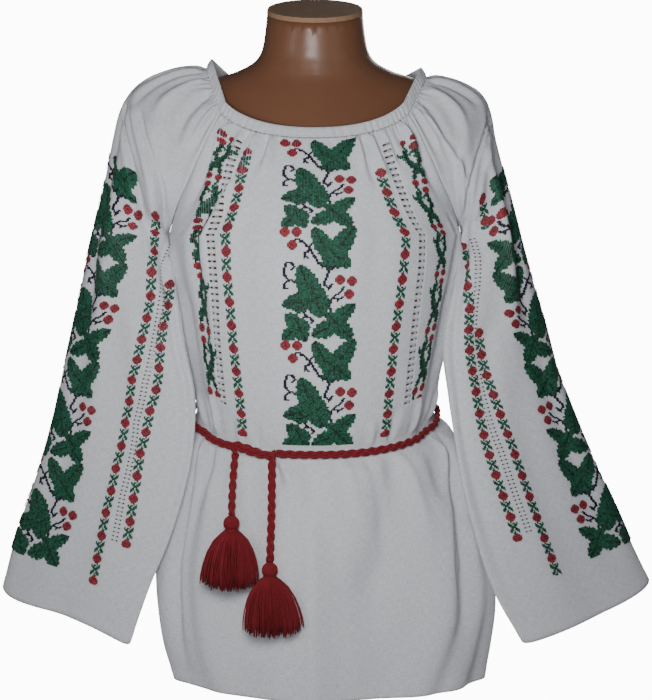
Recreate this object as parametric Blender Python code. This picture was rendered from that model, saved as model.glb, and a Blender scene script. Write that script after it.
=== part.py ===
"""A folk shirt with wide gathered sleeves, drawn over a limbless dress form and belted with a cord.

Metres, +Z up. The origin is the middle of the stand's underside, the front faces -Y and +X is
the right-hand side as seen from the front. Every cloth piece is a wall of one thickness: its
outer face is worked out from the tables below and its inner face is that face moved inwards.
"""

import math

import bmesh
import bpy
import numpy as np

# ---------------------------------------------------------------- driving dimensions
CLOTH = 0.0016            # wall of every cloth panel
SEAM_GAP = 0.0003         # gap left between two neighbouring pieces
BAND_HEIGHT = 0.0118      # neck band
BAND_WALL = 0.0022
BAND_LEAN = 0.45          # the band leans this much towards the neck
BAND_OUTSET = 0.0004      # its foot stands this far outside the neck edge
BELT_RADIUS = 0.0033      # twisted cord belt
BELT_CLEARANCE = 0.0024   # between the belt and the cloth at its narrowest line
CORD_CLEARANCE = 0.0020   # how far the hanging cords stand off the skirt
KNOT_LENGTH = 0.049
KNOT_HEIGHT = 0.0125
KNOT_DEPTH = 0.0095
KNOT_X = -0.0660          # middle of the knot
KNOT_SIDES = 10
KNOT_GAP = 0.0011         # share of the waist left between the knot and the loop
KNOT_STATIONS = 9
LOOP_STATIONS = 64
LOOP_SIDES = 6
TASSEL_HEAD_RADIUS = 0.0085
TASSEL_LENGTH = 0.068     # strands below the head
TASSEL_SPREAD = (0.0305, 0.0125)   # half width and half depth of the strands' ends
STRAND_COUNT = 26
STRAND_RADIUS = 0.00105
POLE_RADIUS = 0.0125
BASE_RADIUS = 0.135
BASE_THICKNESS = 0.014
FORM_BOTTOM = 0.158       # underside of the dress form, just above the hem
CAP_THICKNESS = 0.005
CAP_TAPER = 0.985
CAP_TILT = math.radians(15.5)     # the neck is cut off leaning forwards
ARMPIT_HEIGHT = 0.632     # the inward direction of every wall aims at this height or lower

# Ladder of drawn-thread holes on each side of the front
SLOT_LENGTH = 0.0093
SLOT_HEIGHT = 0.0028
SLOT_PITCH = 0.0070

# Numbers of wall cells
FRONT_SIDE_CELLS = 7      # from the side to the ladder, and FRONT_MIDDLE_CELLS between the ladders
FRONT_MIDDLE_CELLS = 16
BACK_CELLS = 30
SLEEVE_CELLS = 34
BAND_CELLS = 16           # along each of the four pieces gathered into the band

# Body, from the hem up to the armpit. left and right are the side seams, front and back the
# depths of the middle of each panel; the belt pulls the middle of the waist down.
BODY_COLUMNS = ("side_height", "left", "right", "front_height", "front", "back_height", "back")
BODY_ROWS = (
    (0.152, -0.1600, 0.1915, 0.1415, -0.124, 0.150, 0.114),
    (0.189, -0.1715, 0.1985, 0.185, -0.123, 0.189, 0.116),
    (0.229, -0.1755, 0.2010, 0.226, -0.120, 0.229, 0.114),
    (0.279, -0.1740, 0.1940, 0.270, -0.115, 0.279, 0.110),
    (0.325, -0.1640, 0.1830, 0.311, -0.110, 0.326, 0.105),
    (0.369, -0.1530, 0.1700, 0.346, -0.105, 0.372, 0.100),
    (0.413, -0.1420, 0.1530, 0.382, -0.100, 0.418, 0.094),
    (0.437, -0.1315, 0.1300, 0.402, -0.092, 0.443, 0.085),
    (0.460, -0.1330, 0.1345, 0.426, -0.098, 0.468, 0.090),
    (0.487, -0.1380, 0.1390, 0.456, -0.105, 0.494, 0.093),
    (0.531, -0.1460, 0.1470, 0.510, -0.114, 0.535, 0.094),
    (0.572, -0.1520, 0.1530, 0.560, -0.120, 0.575, 0.095),
    (0.605, -0.1585, 0.1585, 0.602, -0.122, 0.607, 0.096),
    (0.632, -0.1600, 0.1600, 0.636, -0.120, 0.636, 0.096),
)
WAIST_ROW = 7
ARMPIT_ROW = len(BODY_ROWS) - 1

# Raglan seams of one side, from the neck down to the armpit
SEAM_COLUMNS = ("front_x", "front_y", "front_z", "back_x", "back_y", "back_z")
SEAM_ROWS = (
    (0.100, -0.060, 0.764, 0.094, 0.056, 0.790),
    (0.109, -0.066, 0.748, 0.103, 0.067, 0.776),
    (0.117, -0.070, 0.731, 0.113, 0.075, 0.757),
    (0.126, -0.070, 0.712, 0.125, 0.080, 0.735),
    (0.134, -0.066, 0.694, 0.137, 0.080, 0.710),
    (0.143, -0.056, 0.675, 0.148, 0.071, 0.685),
    (0.152, -0.036, 0.653, 0.156, 0.048, 0.657),
    (0.160, 0.000, 0.632, 0.160, 0.000, 0.632),
)
SEAM_END = len(SEAM_ROWS) - 1
SEAM_STOPS = (0.0, 0.35, 0.9, 1.7, 2.7, 3.8, 5.0, 6.1, 7.0)   # rows of points along the seams

# Middle of the front and of the back above the armpit. rise counts rows of the raglan seam up
# from the armpit, trim is the angle cut off each end of the row's half ellipse.
UPPER_COLUMNS = ("rise", "front_height", "front", "back_height", "back", "trim")
UPPER_ROWS = (
    (0.0, 0.636, -0.120, 0.636, 0.096, 0.0),
    (1.4, 0.662, -0.114, 0.675, 0.099, 12.0),
    (3.0, 0.688, -0.106, 0.714, 0.098, 19.0),
    (5.0, 0.714, -0.096, 0.752, 0.091, 24.0),
    (7.0, 0.737, -0.085, 0.782, 0.078, 26.0),
)
ROUNDNESS = 2.25          # exponent of the body's rounded oval

# Sleeves from the neck down to the cuff. The outer line of each side, then the inner line from
# the armpit down; above it a section ends on the raglan seams. front and back are how far the
# cloth stands out at the outer line, swell how far it does at the seams, lean how much of it
# follows the straight line between them.
SLEEVE_COLUMNS = ("outer_left", "outer_left_z", "outer_right", "outer_right_z", "outer_y",
                  "inner_left", "inner_left_z", "inner_right", "inner_right_z", "inner_y",
                  "front", "back", "swell", "lean")
SLEEVE_ROWS = (
    (-0.1180, 0.812, 0.1210, 0.803, 0.004, 0, 0, 0, 0, 0, 0.026, 0.026, 0.002, 0.33),
    (-0.1470, 0.813, 0.1470, 0.801, 0.005, 0, 0, 0, 0, 0, 0.036, 0.036, 0.006, 0.35),
    (-0.1780, 0.804, 0.1725, 0.791, 0.005, 0, 0, 0, 0, 0, 0.040, 0.042, 0.010, 0.35),
    (-0.1990, 0.790, 0.1860, 0.779, 0.004, 0, 0, 0, 0, 0, 0.042, 0.046, 0.013, 0.35),
    (-0.2130, 0.768, 0.1935, 0.760, 0.003, 0, 0, 0, 0, 0, 0.044, 0.048, 0.015, 0.34),
    (-0.2210, 0.737, 0.1980, 0.735, 0.002, 0, 0, 0, 0, 0, 0.054, 0.056, 0.022, 0.30),
    (-0.2285, 0.698, 0.2075, 0.698, 0.000, 0, 0, 0, 0, 0, 0.062, 0.064, 0.030, 0.26),
    (-0.2375, 0.660, 0.2180, 0.660, -0.002, -0.1625, 0.632, 0.1625, 0.632, -0.003,
     0.068, 0.068, 0.040, 0.26),
    (-0.2470, 0.622, 0.2275, 0.622, -0.004, -0.1575, 0.602, 0.1570, 0.602, -0.036,
     0.060, 0.064, 0.042, 0.28),
    (-0.2565, 0.578, 0.2405, 0.578, -0.006, -0.1460, 0.560, 0.1425, 0.557, -0.056,
     0.048, 0.054, 0.034, 0.22),
    (-0.2660, 0.535, 0.2535, 0.535, -0.007, -0.1390, 0.515, 0.1370, 0.513, -0.060,
     0.040, 0.044, 0.026, 0.14),
    (-0.2775, 0.485, 0.2670, 0.487, -0.007, -0.1290, 0.463, 0.1430, 0.463, -0.061,
     0.034, 0.034, 0.022, 0.06),
    (-0.2885, 0.436, 0.2870, 0.436, -0.006, -0.1305, 0.412, 0.1510, 0.411, -0.063,
     0.030, 0.028, 0.020, 0.0),
    (-0.3030, 0.385, 0.3090, 0.385, -0.003, -0.1410, 0.357, 0.1605, 0.359, -0.066,
     0.028, 0.025, 0.020, 0.0),
    (-0.3210, 0.335, 0.3330, 0.335, 0.000, -0.1580, 0.303, 0.1750, 0.302, -0.067,
     0.027, 0.023, 0.020, 0.0),
    (-0.3370, 0.287, 0.3530, 0.290, 0.003, -0.1800, 0.250, 0.1950, 0.245, -0.064,
     0.026, 0.022, 0.019, 0.0),
    (-0.3500, 0.236, 0.3740, 0.2455, 0.005, -0.2010, 0.1915, 0.2250, 0.193, -0.060,
     0.024, 0.021, 0.018, 0.0),
)
SLEEVE_END = len(SLEEVE_ROWS) - 1
FOLD_SPINE = 0.007        # the tight turn under the arm is walled towards a line this far inside

# Gathers under the neck band: waves across each piece, their depth and how far down they fade
GATHER_COLUMNS = ("piece", "waves", "depth", "fade")
GATHER_ROWS = (
    ("front", 10, 0.0020, 0.075),
    ("back", 7, 0.0022, 0.080),
    ("sleeve", 8, 0.0026, 0.110),
)
GATHER_RISE = 0.012       # the gathers reach their full depth this far below the band
FRONT_FLAT = 0.21         # half of the share of the front that the stiff middle band keeps flat

# Soft folds of the skirt, sleeves and body: a ridge (+) or a trough (-) across a panel
FOLD_COLUMNS = ("piece", "start", "end", "start_across", "end_across", "height", "width")
FOLD_ROWS = (
    ("front", 7.0, 0.0, 0.10, 0.13, 0.0070, 0.035),
    ("front", 7.0, 0.0, 0.19, 0.24, -0.0050, 0.040),
    ("front", 6.8, 0.0, 0.80, 0.79, -0.0060, 0.035),
    ("front", 6.8, 0.0, 0.90, 0.88, 0.0070, 0.035),
    ("front", 6.9, 2.0, 0.35, 0.38, -0.0025, 0.030),
    ("front", 6.9, 2.0, 0.66, 0.66, -0.0025, 0.030),
    ("front", 11.5, 7.2, 0.13, 0.16, -0.0040, 0.035),
    ("front", 11.5, 7.2, 0.88, 0.85, -0.0040, 0.035),
    ("back", 6.9, 0.0, 0.16, 0.12, 0.0070, 0.040),
    ("back", 6.9, 0.0, 0.34, 0.32, -0.0060, 0.045),
    ("back", 6.9, 0.0, 0.52, 0.52, 0.0060, 0.045),
    ("back", 6.9, 0.0, 0.70, 0.72, -0.0065, 0.045),
    ("back", 6.9, 0.0, 0.86, 0.89, 0.0070, 0.040),
    ("back", 11.8, 7.2, 0.22, 0.26, -0.0040, 0.040),
    ("back", 11.8, 7.2, 0.76, 0.73, -0.0045, 0.040),
    ("sleeve_left", 3.0, 9.0, 0.40, 0.36, -0.0050, 0.030),
    ("sleeve_left", 2.5, 8.0, 0.24, 0.13, 0.0050, 0.040),
    ("sleeve_left", 8.0, 16.0, 0.20, 0.26, -0.0030, 0.040),
    ("sleeve_left", 9.0, 16.0, 0.72, 0.68, 0.0050, 0.045),
    ("sleeve_left", 3.0, 10.0, 0.64, 0.70, -0.0050, 0.040),
    ("sleeve_right", 3.0, 9.0, 0.40, 0.34, -0.0050, 0.030),
    ("sleeve_right", 2.5, 8.0, 0.22, 0.12, 0.0055, 0.040),
    ("sleeve_right", 9.0, 16.0, 0.22, 0.28, -0.0030, 0.040),
    ("sleeve_right", 9.0, 16.0, 0.74, 0.70, 0.0050, 0.045),
    ("sleeve_right", 3.5, 10.0, 0.62, 0.70, -0.0050, 0.040),
)

# Middle lines of the two ladders of holes: share across the front at each row number
LADDER_COLUMNS = ("along", "left", "right")
LADDER_ROWS = (
    (7.6, 0.256, 0.742),
    (8.8, 0.257, 0.743),
    (10.2, 0.265, 0.738),
    (11.8, 0.277, 0.740),
    (13.5, 0.268, 0.740),
    (15.3, 0.234, 0.752),
    (17.3, 0.206, 0.764),
    (19.5, 0.176, 0.786),
)
LADDER_START = 8.65       # rows between which the holes lie
LADDER_END = 19.35

# Hanging ends of the belt: x and z of their route, and of the middle of each tassel's end
TAIL_LEFT = ((-0.0850, 0.4020), (-0.0868, 0.3800), (-0.0882, 0.3560), (-0.0886, 0.3370))
TAIL_RIGHT = ((-0.0455, 0.3970), (-0.0455, 0.3700), (-0.0458, 0.3400), (-0.0466, 0.3150),
              (-0.0474, 0.2900))
TASSEL_DRIFT_LEFT = -0.002
TASSEL_DRIFT_RIGHT = 0.003

# Dress form: height, half width, how far its front and back stand from its middle, its middle
FORM_COLUMNS = ("height", "half_width", "front", "back", "middle", "roundness")
FORM_ROWS = (
    (0.158, 0.138, 0.098, 0.092, 0.000, 2.3),
    (0.200, 0.146, 0.104, 0.098, 0.000, 2.3),
    (0.260, 0.150, 0.103, 0.100, 0.000, 2.3),
    (0.330, 0.141, 0.096, 0.094, 0.000, 2.3),
    (0.390, 0.127, 0.088, 0.082, 0.000, 2.3),
    (0.440, 0.122, 0.086, 0.077, 0.000, 2.3),
    (0.500, 0.128, 0.097, 0.080, 0.000, 2.3),
    (0.560, 0.139, 0.107, 0.084, 0.000, 2.3),
    (0.610, 0.147, 0.112, 0.086, 0.000, 2.25),
    (0.650, 0.156, 0.107, 0.086, 0.000, 2.1),
    (0.690, 0.172, 0.096, 0.082, 0.001, 1.85),
    (0.720, 0.179, 0.086, 0.076, 0.002, 1.65),
    (0.745, 0.181, 0.078, 0.068, 0.003, 1.55),
    (0.768, 0.173, 0.068, 0.060, 0.004, 1.5),
    (0.785, 0.154, 0.060, 0.054, 0.004, 1.5),
    (0.796, 0.131, 0.055, 0.052, 0.004, 1.5),
    (0.8025, 0.110, 0.053, 0.051, 0.004, 1.55),
    (0.809, 0.086, 0.052, 0.050, 0.004, 1.7),
    (0.819, 0.066, 0.050, 0.050, 0.003, 1.9),
    (0.832, 0.0565, 0.049, 0.051, 0.002, 2.0),
    (0.872, 0.0525, 0.049, 0.051, 0.000, 2.0),
)
FORM_SIDES = 28

LINEN = ("linen", (0.86, 0.87, 0.88), 0.85, 0.0)
RED_CORD = ("red_cord", (0.33, 0.02, 0.035), 0.8, 0.0)
TAN_PLASTIC = ("tan_plastic", (0.36, 0.17, 0.09), 0.28, 0.0)
CAP_PLASTIC = ("cap_plastic", (0.30, 0.17, 0.11), 0.5, 0.0)
STAND_METAL = ("stand_metal", (0.55, 0.56, 0.58), 0.25, 1.0)


# ---------------------------------------------------------------- tables and walls
def column(rows, columns, name):
    """One named column of a table as an array."""
    return np.array([row[columns.index(name)] for row in rows], dtype=float)


def smooth(values, at, knots=None):
    """Smooth curve through values, read at the places `at` (row numbers unless knots is given)."""
    values = np.asarray(values, dtype=float)
    knots = np.arange(len(values), dtype=float) if knots is None else np.asarray(knots, dtype=float)
    at = np.clip(np.asarray(at, dtype=float), knots[0], knots[-1])
    steps = np.diff(knots)
    rises = np.diff(values) / steps
    slopes = np.empty(len(values))
    slopes[0] = rises[0]
    slopes[-1] = rises[-1]
    slopes[1:-1] = (rises[:-1] * steps[1:] + rises[1:] * steps[:-1]) / (steps[:-1] + steps[1:])
    cell = np.clip(np.searchsorted(knots, at, side="right") - 1, 0, len(steps) - 1)
    span = steps[cell]
    t = (at - knots[cell]) / span
    start, end = values[cell], values[cell + 1]
    return (start * (1 + 2 * t) * (1 - t) ** 2 + end * t * t * (3 - 2 * t)
            + slopes[cell] * span * t * (1 - t) ** 2 - slopes[cell + 1] * span * t * t * (1 - t))


def unit(vectors):
    """Vectors scaled to length 1."""
    return vectors / np.maximum(np.linalg.norm(vectors, axis=-1, keepdims=True), 1e-12)


def inward(points):
    """Direction from points of the body or the neckline towards the middle of the garment."""
    target = np.zeros_like(points)
    target[..., 2] = np.minimum(points[..., 2], ARMPIT_HEIGHT + 0.023)
    return unit(target - points)


def ease(values):
    """0 below 0, 1 above 1 and a soft step between."""
    values = np.clip(values, 0.0, 1.0)
    return values * values * (3 - 2 * values)


def fold_height(piece, along, across):
    """Sum of the soft folds of one piece at places given as row number and share across."""
    total = np.zeros(np.broadcast(along, across).shape)
    for values in FOLD_ROWS:
        fold = dict(zip(FOLD_COLUMNS, values))
        if fold["piece"] != piece:
            continue
        share = (along - fold["start"]) / (fold["end"] - fold["start"])
        inside = ease(share * 5) * ease((1.25 - share) * 4)
        turn = fold["end_across"] - fold["start_across"]
        middle = fold["start_across"] + turn * np.clip(share, 0, 1)
        bell = np.exp(-((across - middle) / fold["width"]) ** 2)
        total = total + fold["height"] * inside * bell
    return total


def gather_height(piece, from_neck, across):
    """Waves of the gathers of one piece: none in the band's seam, deepest just below it."""
    gather = next(dict(zip(GATHER_COLUMNS, row)) for row in GATHER_ROWS if row[0] == piece)
    strength = ease(from_neck / GATHER_RISE) * (1 - ease(from_neck / gather["fade"]))
    flat = ease((np.abs(across - 0.5) - FRONT_FLAT) / 0.04) if piece == "front" else 1.0
    return gather["depth"] * strength * flat * np.cos(2 * math.pi * gather["waves"] * across)


def add_object(name, mesh, material):
    """Put a mesh into the scene as one sub-part with its own material."""
    obj = bpy.data.objects.new(name, mesh)
    bpy.context.scene.collection.objects.link(obj)
    label, colour, roughness, metallic = material
    surface = bpy.data.materials.get(label)
    if surface is None:
        surface = bpy.data.materials.new(label)
        surface.use_nodes = True
        shader = surface.node_tree.nodes["Principled BSDF"]
        shader.inputs["Base Color"].default_value = (*colour, 1.0)
        shader.inputs["Roughness"].default_value = roughness
        shader.inputs["Metallic"].default_value = metallic
    mesh.materials.append(surface)
    mesh.shade_smooth()
    return obj


def mesh_from(name, points, faces):
    """A mesh with all faces turned outwards."""
    mesh = bpy.data.meshes.new(name)
    mesh.from_pydata([tuple(point) for point in points], [], faces)
    shape = bmesh.new()
    shape.from_mesh(mesh)
    bmesh.ops.recalc_face_normals(shape, faces=shape.faces)
    bmesh.ops.triangulate(shape, faces=shape.faces)
    shape.to_mesh(mesh)
    shape.free()
    return mesh


def wall(name, outer, inner, closed_from, material):
    """A closed wall between two grids of points (rows by columns).

    From the row closed_from on, the first and last columns are one line, as on a tube.
    """
    rows, columns = outer.shape[:2]
    points = np.concatenate([outer.reshape(-1, 3), inner.reshape(-1, 3)])

    def corner(side, row, place):
        if place == columns - 1 and row >= closed_from:
            place = 0
        return side * rows * columns + row * columns + place

    faces = []
    for row in range(rows - 1):
        for place in range(columns - 1):
            cell = [(row, place), (row, place + 1), (row + 1, place + 1), (row + 1, place)]
            faces.append([corner(0, *spot) for spot in cell])
            faces.append([corner(1, *spot) for spot in reversed(cell)])
    for place in range(columns - 1):
        for row in (0, rows - 1):
            faces.append([corner(0, row, place), corner(0, row, place + 1),
                          corner(1, row, place + 1), corner(1, row, place)])
    for row in range(min(closed_from, rows - 1)):
        for place in (0, columns - 1):
            faces.append([corner(0, row, place), corner(0, row + 1, place),
                          corner(1, row + 1, place), corner(1, row, place)])
    used = sorted({index for face in faces for index in face})
    place_of = {index: position for position, index in enumerate(used)}
    faces = [[place_of[index] for index in face] for face in faces]
    return add_object(name, mesh_from(name, points[used], faces), material)


# ---------------------------------------------------------------- front and back panels
def body_surface(piece, along, across):
    """Outer face of the front or back; along counts rows from the hem, across runs left to right."""
    along, across = np.broadcast_arrays(np.asarray(along, float), np.asarray(across, float))
    lower = np.minimum(along, ARMPIT_ROW)
    rise = np.maximum(along - ARMPIT_ROW, 0)
    seam = SEAM_END - rise
    above = along > ARMPIT_ROW
    rises = column(UPPER_ROWS, UPPER_COLUMNS, "rise")

    def pick(name):
        low = smooth(column(BODY_ROWS, BODY_COLUMNS, name), lower)
        high = smooth(column(UPPER_ROWS, UPPER_COLUMNS, name), rise, rises)
        return np.where(above, high, low)

    seam_x = smooth(column(SEAM_ROWS, SEAM_COLUMNS, piece + "_x"), seam)
    seam_y = smooth(column(SEAM_ROWS, SEAM_COLUMNS, piece + "_y"), seam)
    seam_z = smooth(column(SEAM_ROWS, SEAM_COLUMNS, piece + "_z"), seam)
    left = np.where(above, -seam_x, smooth(column(BODY_ROWS, BODY_COLUMNS, "left"), lower))
    right = np.where(above, seam_x, smooth(column(BODY_ROWS, BODY_COLUMNS, "right"), lower))
    end_y = np.where(above, seam_y, 0.0)
    end_z = np.where(above, seam_z, smooth(column(BODY_ROWS, BODY_COLUMNS, "side_height"), lower))
    middle_y = pick(piece)
    middle_z = pick(piece + "_height")
    trim = np.radians(smooth(column(UPPER_ROWS, UPPER_COLUMNS, "trim"), rise, rises))

    angle = trim + (math.pi - 2 * trim) * (1 - across)
    power = 2 / ROUNDNESS
    bend = np.sign(np.cos(angle)) * np.abs(np.cos(angle)) ** power / np.cos(trim) ** power
    swell = np.abs(np.sin(angle)) ** power
    edge = np.sin(trim) ** power
    swell = (swell - edge) / (1 - edge)
    points = np.stack([(left + right) / 2 + (right - left) / 2 * bend,
                       end_y + (middle_y - end_y) * swell,
                       end_z + (middle_z - end_z) * swell], axis=-1)
    top = body_top_height(piece, across)
    from_neck = np.maximum(top - points[..., 2], 0)
    move = fold_height(piece, along, across) + gather_height(piece, from_neck, across)
    move = move * ease(np.minimum(across, 1 - across) / 0.03)
    return points - inward(points) * move[..., None]


def body_top_height(piece, across):
    """Height of the neck edge of the front or back."""
    end = SEAM_ROWS[0][SEAM_COLUMNS.index(piece + "_z")]
    middle = UPPER_ROWS[-1][UPPER_COLUMNS.index(piece + "_height")]
    return end + (middle - end) * np.sin(math.pi * across)


def ladder_share(side_name, along):
    """Share across the front of a ladder's middle line at a row number."""
    return smooth(column(LADDER_ROWS, LADDER_COLUMNS, side_name), along,
                  column(LADDER_ROWS, LADDER_COLUMNS, "along"))


def ladder_edges(side_name, along):
    """Shares across the front of the ends of a ladder's holes at row numbers."""
    middle = ladder_share(side_name, along)
    step = 0.004
    ahead = body_surface("front", along, middle + step)
    behind = body_surface("front", along, middle - step)
    width = np.linalg.norm(ahead - behind, axis=-1) / (2 * step)
    reach = SLOT_LENGTH / 2 / width
    return middle - reach, middle + reach


def ladder_holes(side_name):
    """Row numbers of the lower and upper edge of each hole of a ladder."""
    along = np.linspace(LADDER_START, LADDER_END, 400)
    line = body_surface("front", along, ladder_share(side_name, along))
    length = np.concatenate([[0], np.cumsum(np.linalg.norm(np.diff(line, axis=0), axis=1))])
    count = int(length[-1] / SLOT_PITCH)
    middles = (np.arange(count) + 0.5) * SLOT_PITCH
    low = np.interp(middles - SLOT_HEIGHT / 2, length, along)
    high = np.interp(middles + SLOT_HEIGHT / 2, length, along)
    return list(zip(low, high))


def zip_strip(left, right):
    """Triangles between two neighbouring lines of (row number, point index) pairs."""
    faces = []
    here, there = 0, 0
    while here < len(left) - 1 or there < len(right) - 1:
        step_left = here < len(left) - 1
        if step_left and there < len(right) - 1:
            step_left = left[here + 1][0] <= right[there + 1][0]
        if step_left:
            faces.append([left[here][1], left[here + 1][1], right[there][1]])
            here += 1
        else:
            faces.append([left[here][1], right[there + 1][1], right[there][1]])
            there += 1
    return faces


def panel_lines(piece, rows):
    """Lines of points up a panel: row numbers and shares across, and the holes right of a line."""
    if piece == "back":
        return [(rows, np.full(len(rows), share), ())
                for share in np.linspace(0, 1, BACK_CELLS + 1)]
    lines = []
    holes = {name: ladder_holes(name) for name in ("left", "right")}
    full = {name: np.unique(np.concatenate([rows, np.ravel(holes[name])])) for name in holes}

    def between(start, end, cells, first):
        for number in range(first, cells):
            share = number / cells
            lines.append((rows, start(rows) * (1 - share) + end(rows) * share, ()))

    def ladder_line(name, which):
        return lambda at: ladder_edges(name, at)[which]

    left_low, left_high = ladder_line("left", 0), ladder_line("left", 1)
    right_low, right_high = ladder_line("right", 0), ladder_line("right", 1)
    between(np.zeros_like, left_low, FRONT_SIDE_CELLS, 0)
    lines.append((full["left"], left_low(full["left"]), holes["left"]))
    lines.append((full["left"], left_high(full["left"]), ()))
    between(left_high, right_low, FRONT_MIDDLE_CELLS, 1)
    lines.append((full["right"], right_low(full["right"]), holes["right"]))
    lines.append((full["right"], right_high(full["right"]), ()))
    between(right_high, np.ones_like, FRONT_SIDE_CELLS, 1)
    lines.append((rows, np.ones(len(rows)), ()))
    return lines


def body_panel(piece):
    """Closed wall of the front or back panel, ending half a seam gap from its neighbours."""
    below = np.concatenate([np.linspace(0, 6, 5), (6.6, 7.0, 7.5), np.linspace(8.5, ARMPIT_ROW, 4)])
    rows = np.concatenate([below, ARMPIT_ROW + SEAM_END - np.array(SEAM_STOPS)[::-1][1:]])
    lines = panel_lines(piece, rows)
    facing = -1.0 if piece == "front" else 1.0
    shift = SEAM_GAP / 2
    outer, inner, indexed = [], [], []
    for number, (along, across, holes) in enumerate(lines):
        points = body_surface(piece, along, across)
        low = along <= ARMPIT_ROW
        at_edge = number in (0, len(lines) - 1)
        if at_edge:
            sign = 1.0 if number == 0 else -1.0
            points[low, 1] += facing * shift
            points[~low, 0] += sign * shift
            points[~low, 2] -= shift
        behind = points + inward(points) * CLOTH
        if at_edge:
            behind[low, 1] = facing * np.maximum(facing * behind[low, 1], shift)
        first = sum(len(part) for part in outer)
        indexed.append([(row, first + place) for place, row in enumerate(along)])
        outer.append(points)
        inner.append(behind)
    total = sum(len(part) for part in outer)
    faces = []

    def both(triangles):
        faces.extend(triangles)
        faces.extend([[index + total for index in reversed(face)] for face in triangles])

    def rim(chain):
        for one, other in zip(chain, chain[1:]):
            faces.append([one, other, other + total, one + total])

    for number in range(len(lines) - 1):
        left, right = indexed[number], indexed[number + 1]
        start = left[0][0]
        for low, high in [*lines[number][2], (left[-1][0], None)]:
            part_left = [pair for pair in left if start <= pair[0] <= low]
            part_right = [pair for pair in right if start <= pair[0] <= low]
            both(zip_strip(part_left, part_right))
            if high is None:
                continue
            side_left = [index for row, index in left if low <= row <= high]
            side_right = [index for row, index in right if low <= row <= high]
            rim(side_left)
            rim(side_right)
            rim([side_left[0], side_right[0]])
            rim([side_left[-1], side_right[-1]])
            start = high
    rim([line[0][1] for line in indexed])
    rim([line[-1][1] for line in indexed])
    rim([index for row, index in indexed[0]])
    rim([index for row, index in indexed[-1]])
    points = np.concatenate(outer + inner)
    return add_object(piece, mesh_from(piece, points, faces), LINEN)


# ---------------------------------------------------------------- sleeves
def sleeve_surface(side, along, across):
    """Outer face of a sleeve: along counts rows from the neck, across runs from the front seam
    over the outer line (0.5) to the back seam."""
    along, across = np.broadcast_arrays(np.asarray(along, float), np.asarray(across, float))
    word = "left" if side < 0 else "right"

    def read(name):
        return smooth(column(SLEEVE_ROWS, SLEEVE_COLUMNS, name), along)

    low_rows = SLEEVE_ROWS[SEAM_END:]

    def read_low(name):
        return smooth(column(low_rows, SLEEVE_COLUMNS, name), np.maximum(along - SEAM_END, 0))

    def read_seam(name):
        return smooth(column(SEAM_ROWS, SEAM_COLUMNS, name), np.minimum(along, SEAM_END))

    outer = np.stack([read("outer_" + word), read("outer_y"), read("outer_" + word + "_z")], -1)
    inner = np.stack([read_low("inner_" + word), read_low("inner_y"),
                      read_low("inner_" + word + "_z")], -1)
    below = (along >= SEAM_END)[..., None]
    front_side = across <= 0.5
    seam = np.where(front_side[..., None],
                    np.stack([side * read_seam("front_x"), read_seam("front_y"),
                              read_seam("front_z")], -1),
                    np.stack([side * read_seam("back_x"), read_seam("back_y"),
                              read_seam("back_z")], -1))
    seam = np.where(below, inner, seam)

    facing = np.where(front_side, -1.0, 1.0)
    pull = np.where(front_side, read("front"), read("back"))
    forward = np.zeros_like(outer)
    forward[..., 1] = facing
    start = seam + (outer - seam) * read("lean")[..., None] + forward * read("swell")[..., None]
    end = outer + forward * pull[..., None]
    t = np.where(front_side, 2 * across, 2 - 2 * across)
    t = (0.55 * t + 0.45 * (1 - np.cos(math.pi * t)) / 2)[..., None]
    points = (seam * (1 - t) ** 3 + 3 * start * t * (1 - t) ** 2
              + 3 * end * t * t * (1 - t) + outer * t ** 3)
    return points


def sleeve_grid(side, along, across):
    """Sleeve points with their folds and gathers, and the direction out of the cloth."""
    points = sleeve_surface(side, along[:, None], across[None, :])
    out = outward_of(points, closed=along >= SEAM_END)
    word = "sleeve_left" if side < 0 else "sleeve_right"
    neck = points[:1]
    from_neck = np.linalg.norm(points - neck, axis=-1)
    from_neck = np.where(along[:, None] > SEAM_END, 1.0, from_neck)
    edge = ease(np.minimum(across, 1 - across) / 0.04)[None, :]
    move = fold_height(word, along[:, None], across[None, :])
    move = (move + gather_height("sleeve", from_neck, across[None, :])) * edge
    return points + out * move[..., None], out


def outward_of(points, closed):
    """Unit normals of a sleeve's grid of points, pointing out of the tube."""
    along_step = np.gradient(points, axis=0)
    across_step = np.gradient(points, axis=1)
    wrap = points[:, 1] - points[:, -2]
    across_step[closed, 0] = wrap[closed] / 2
    across_step[closed, -1] = wrap[closed] / 2
    normals = unit(np.cross(across_step, along_step))
    middle = points.mean(axis=1, keepdims=True)
    facing = np.sign((normals * (points - middle)).sum(axis=(-2, -1), keepdims=True))
    return normals * facing


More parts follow.
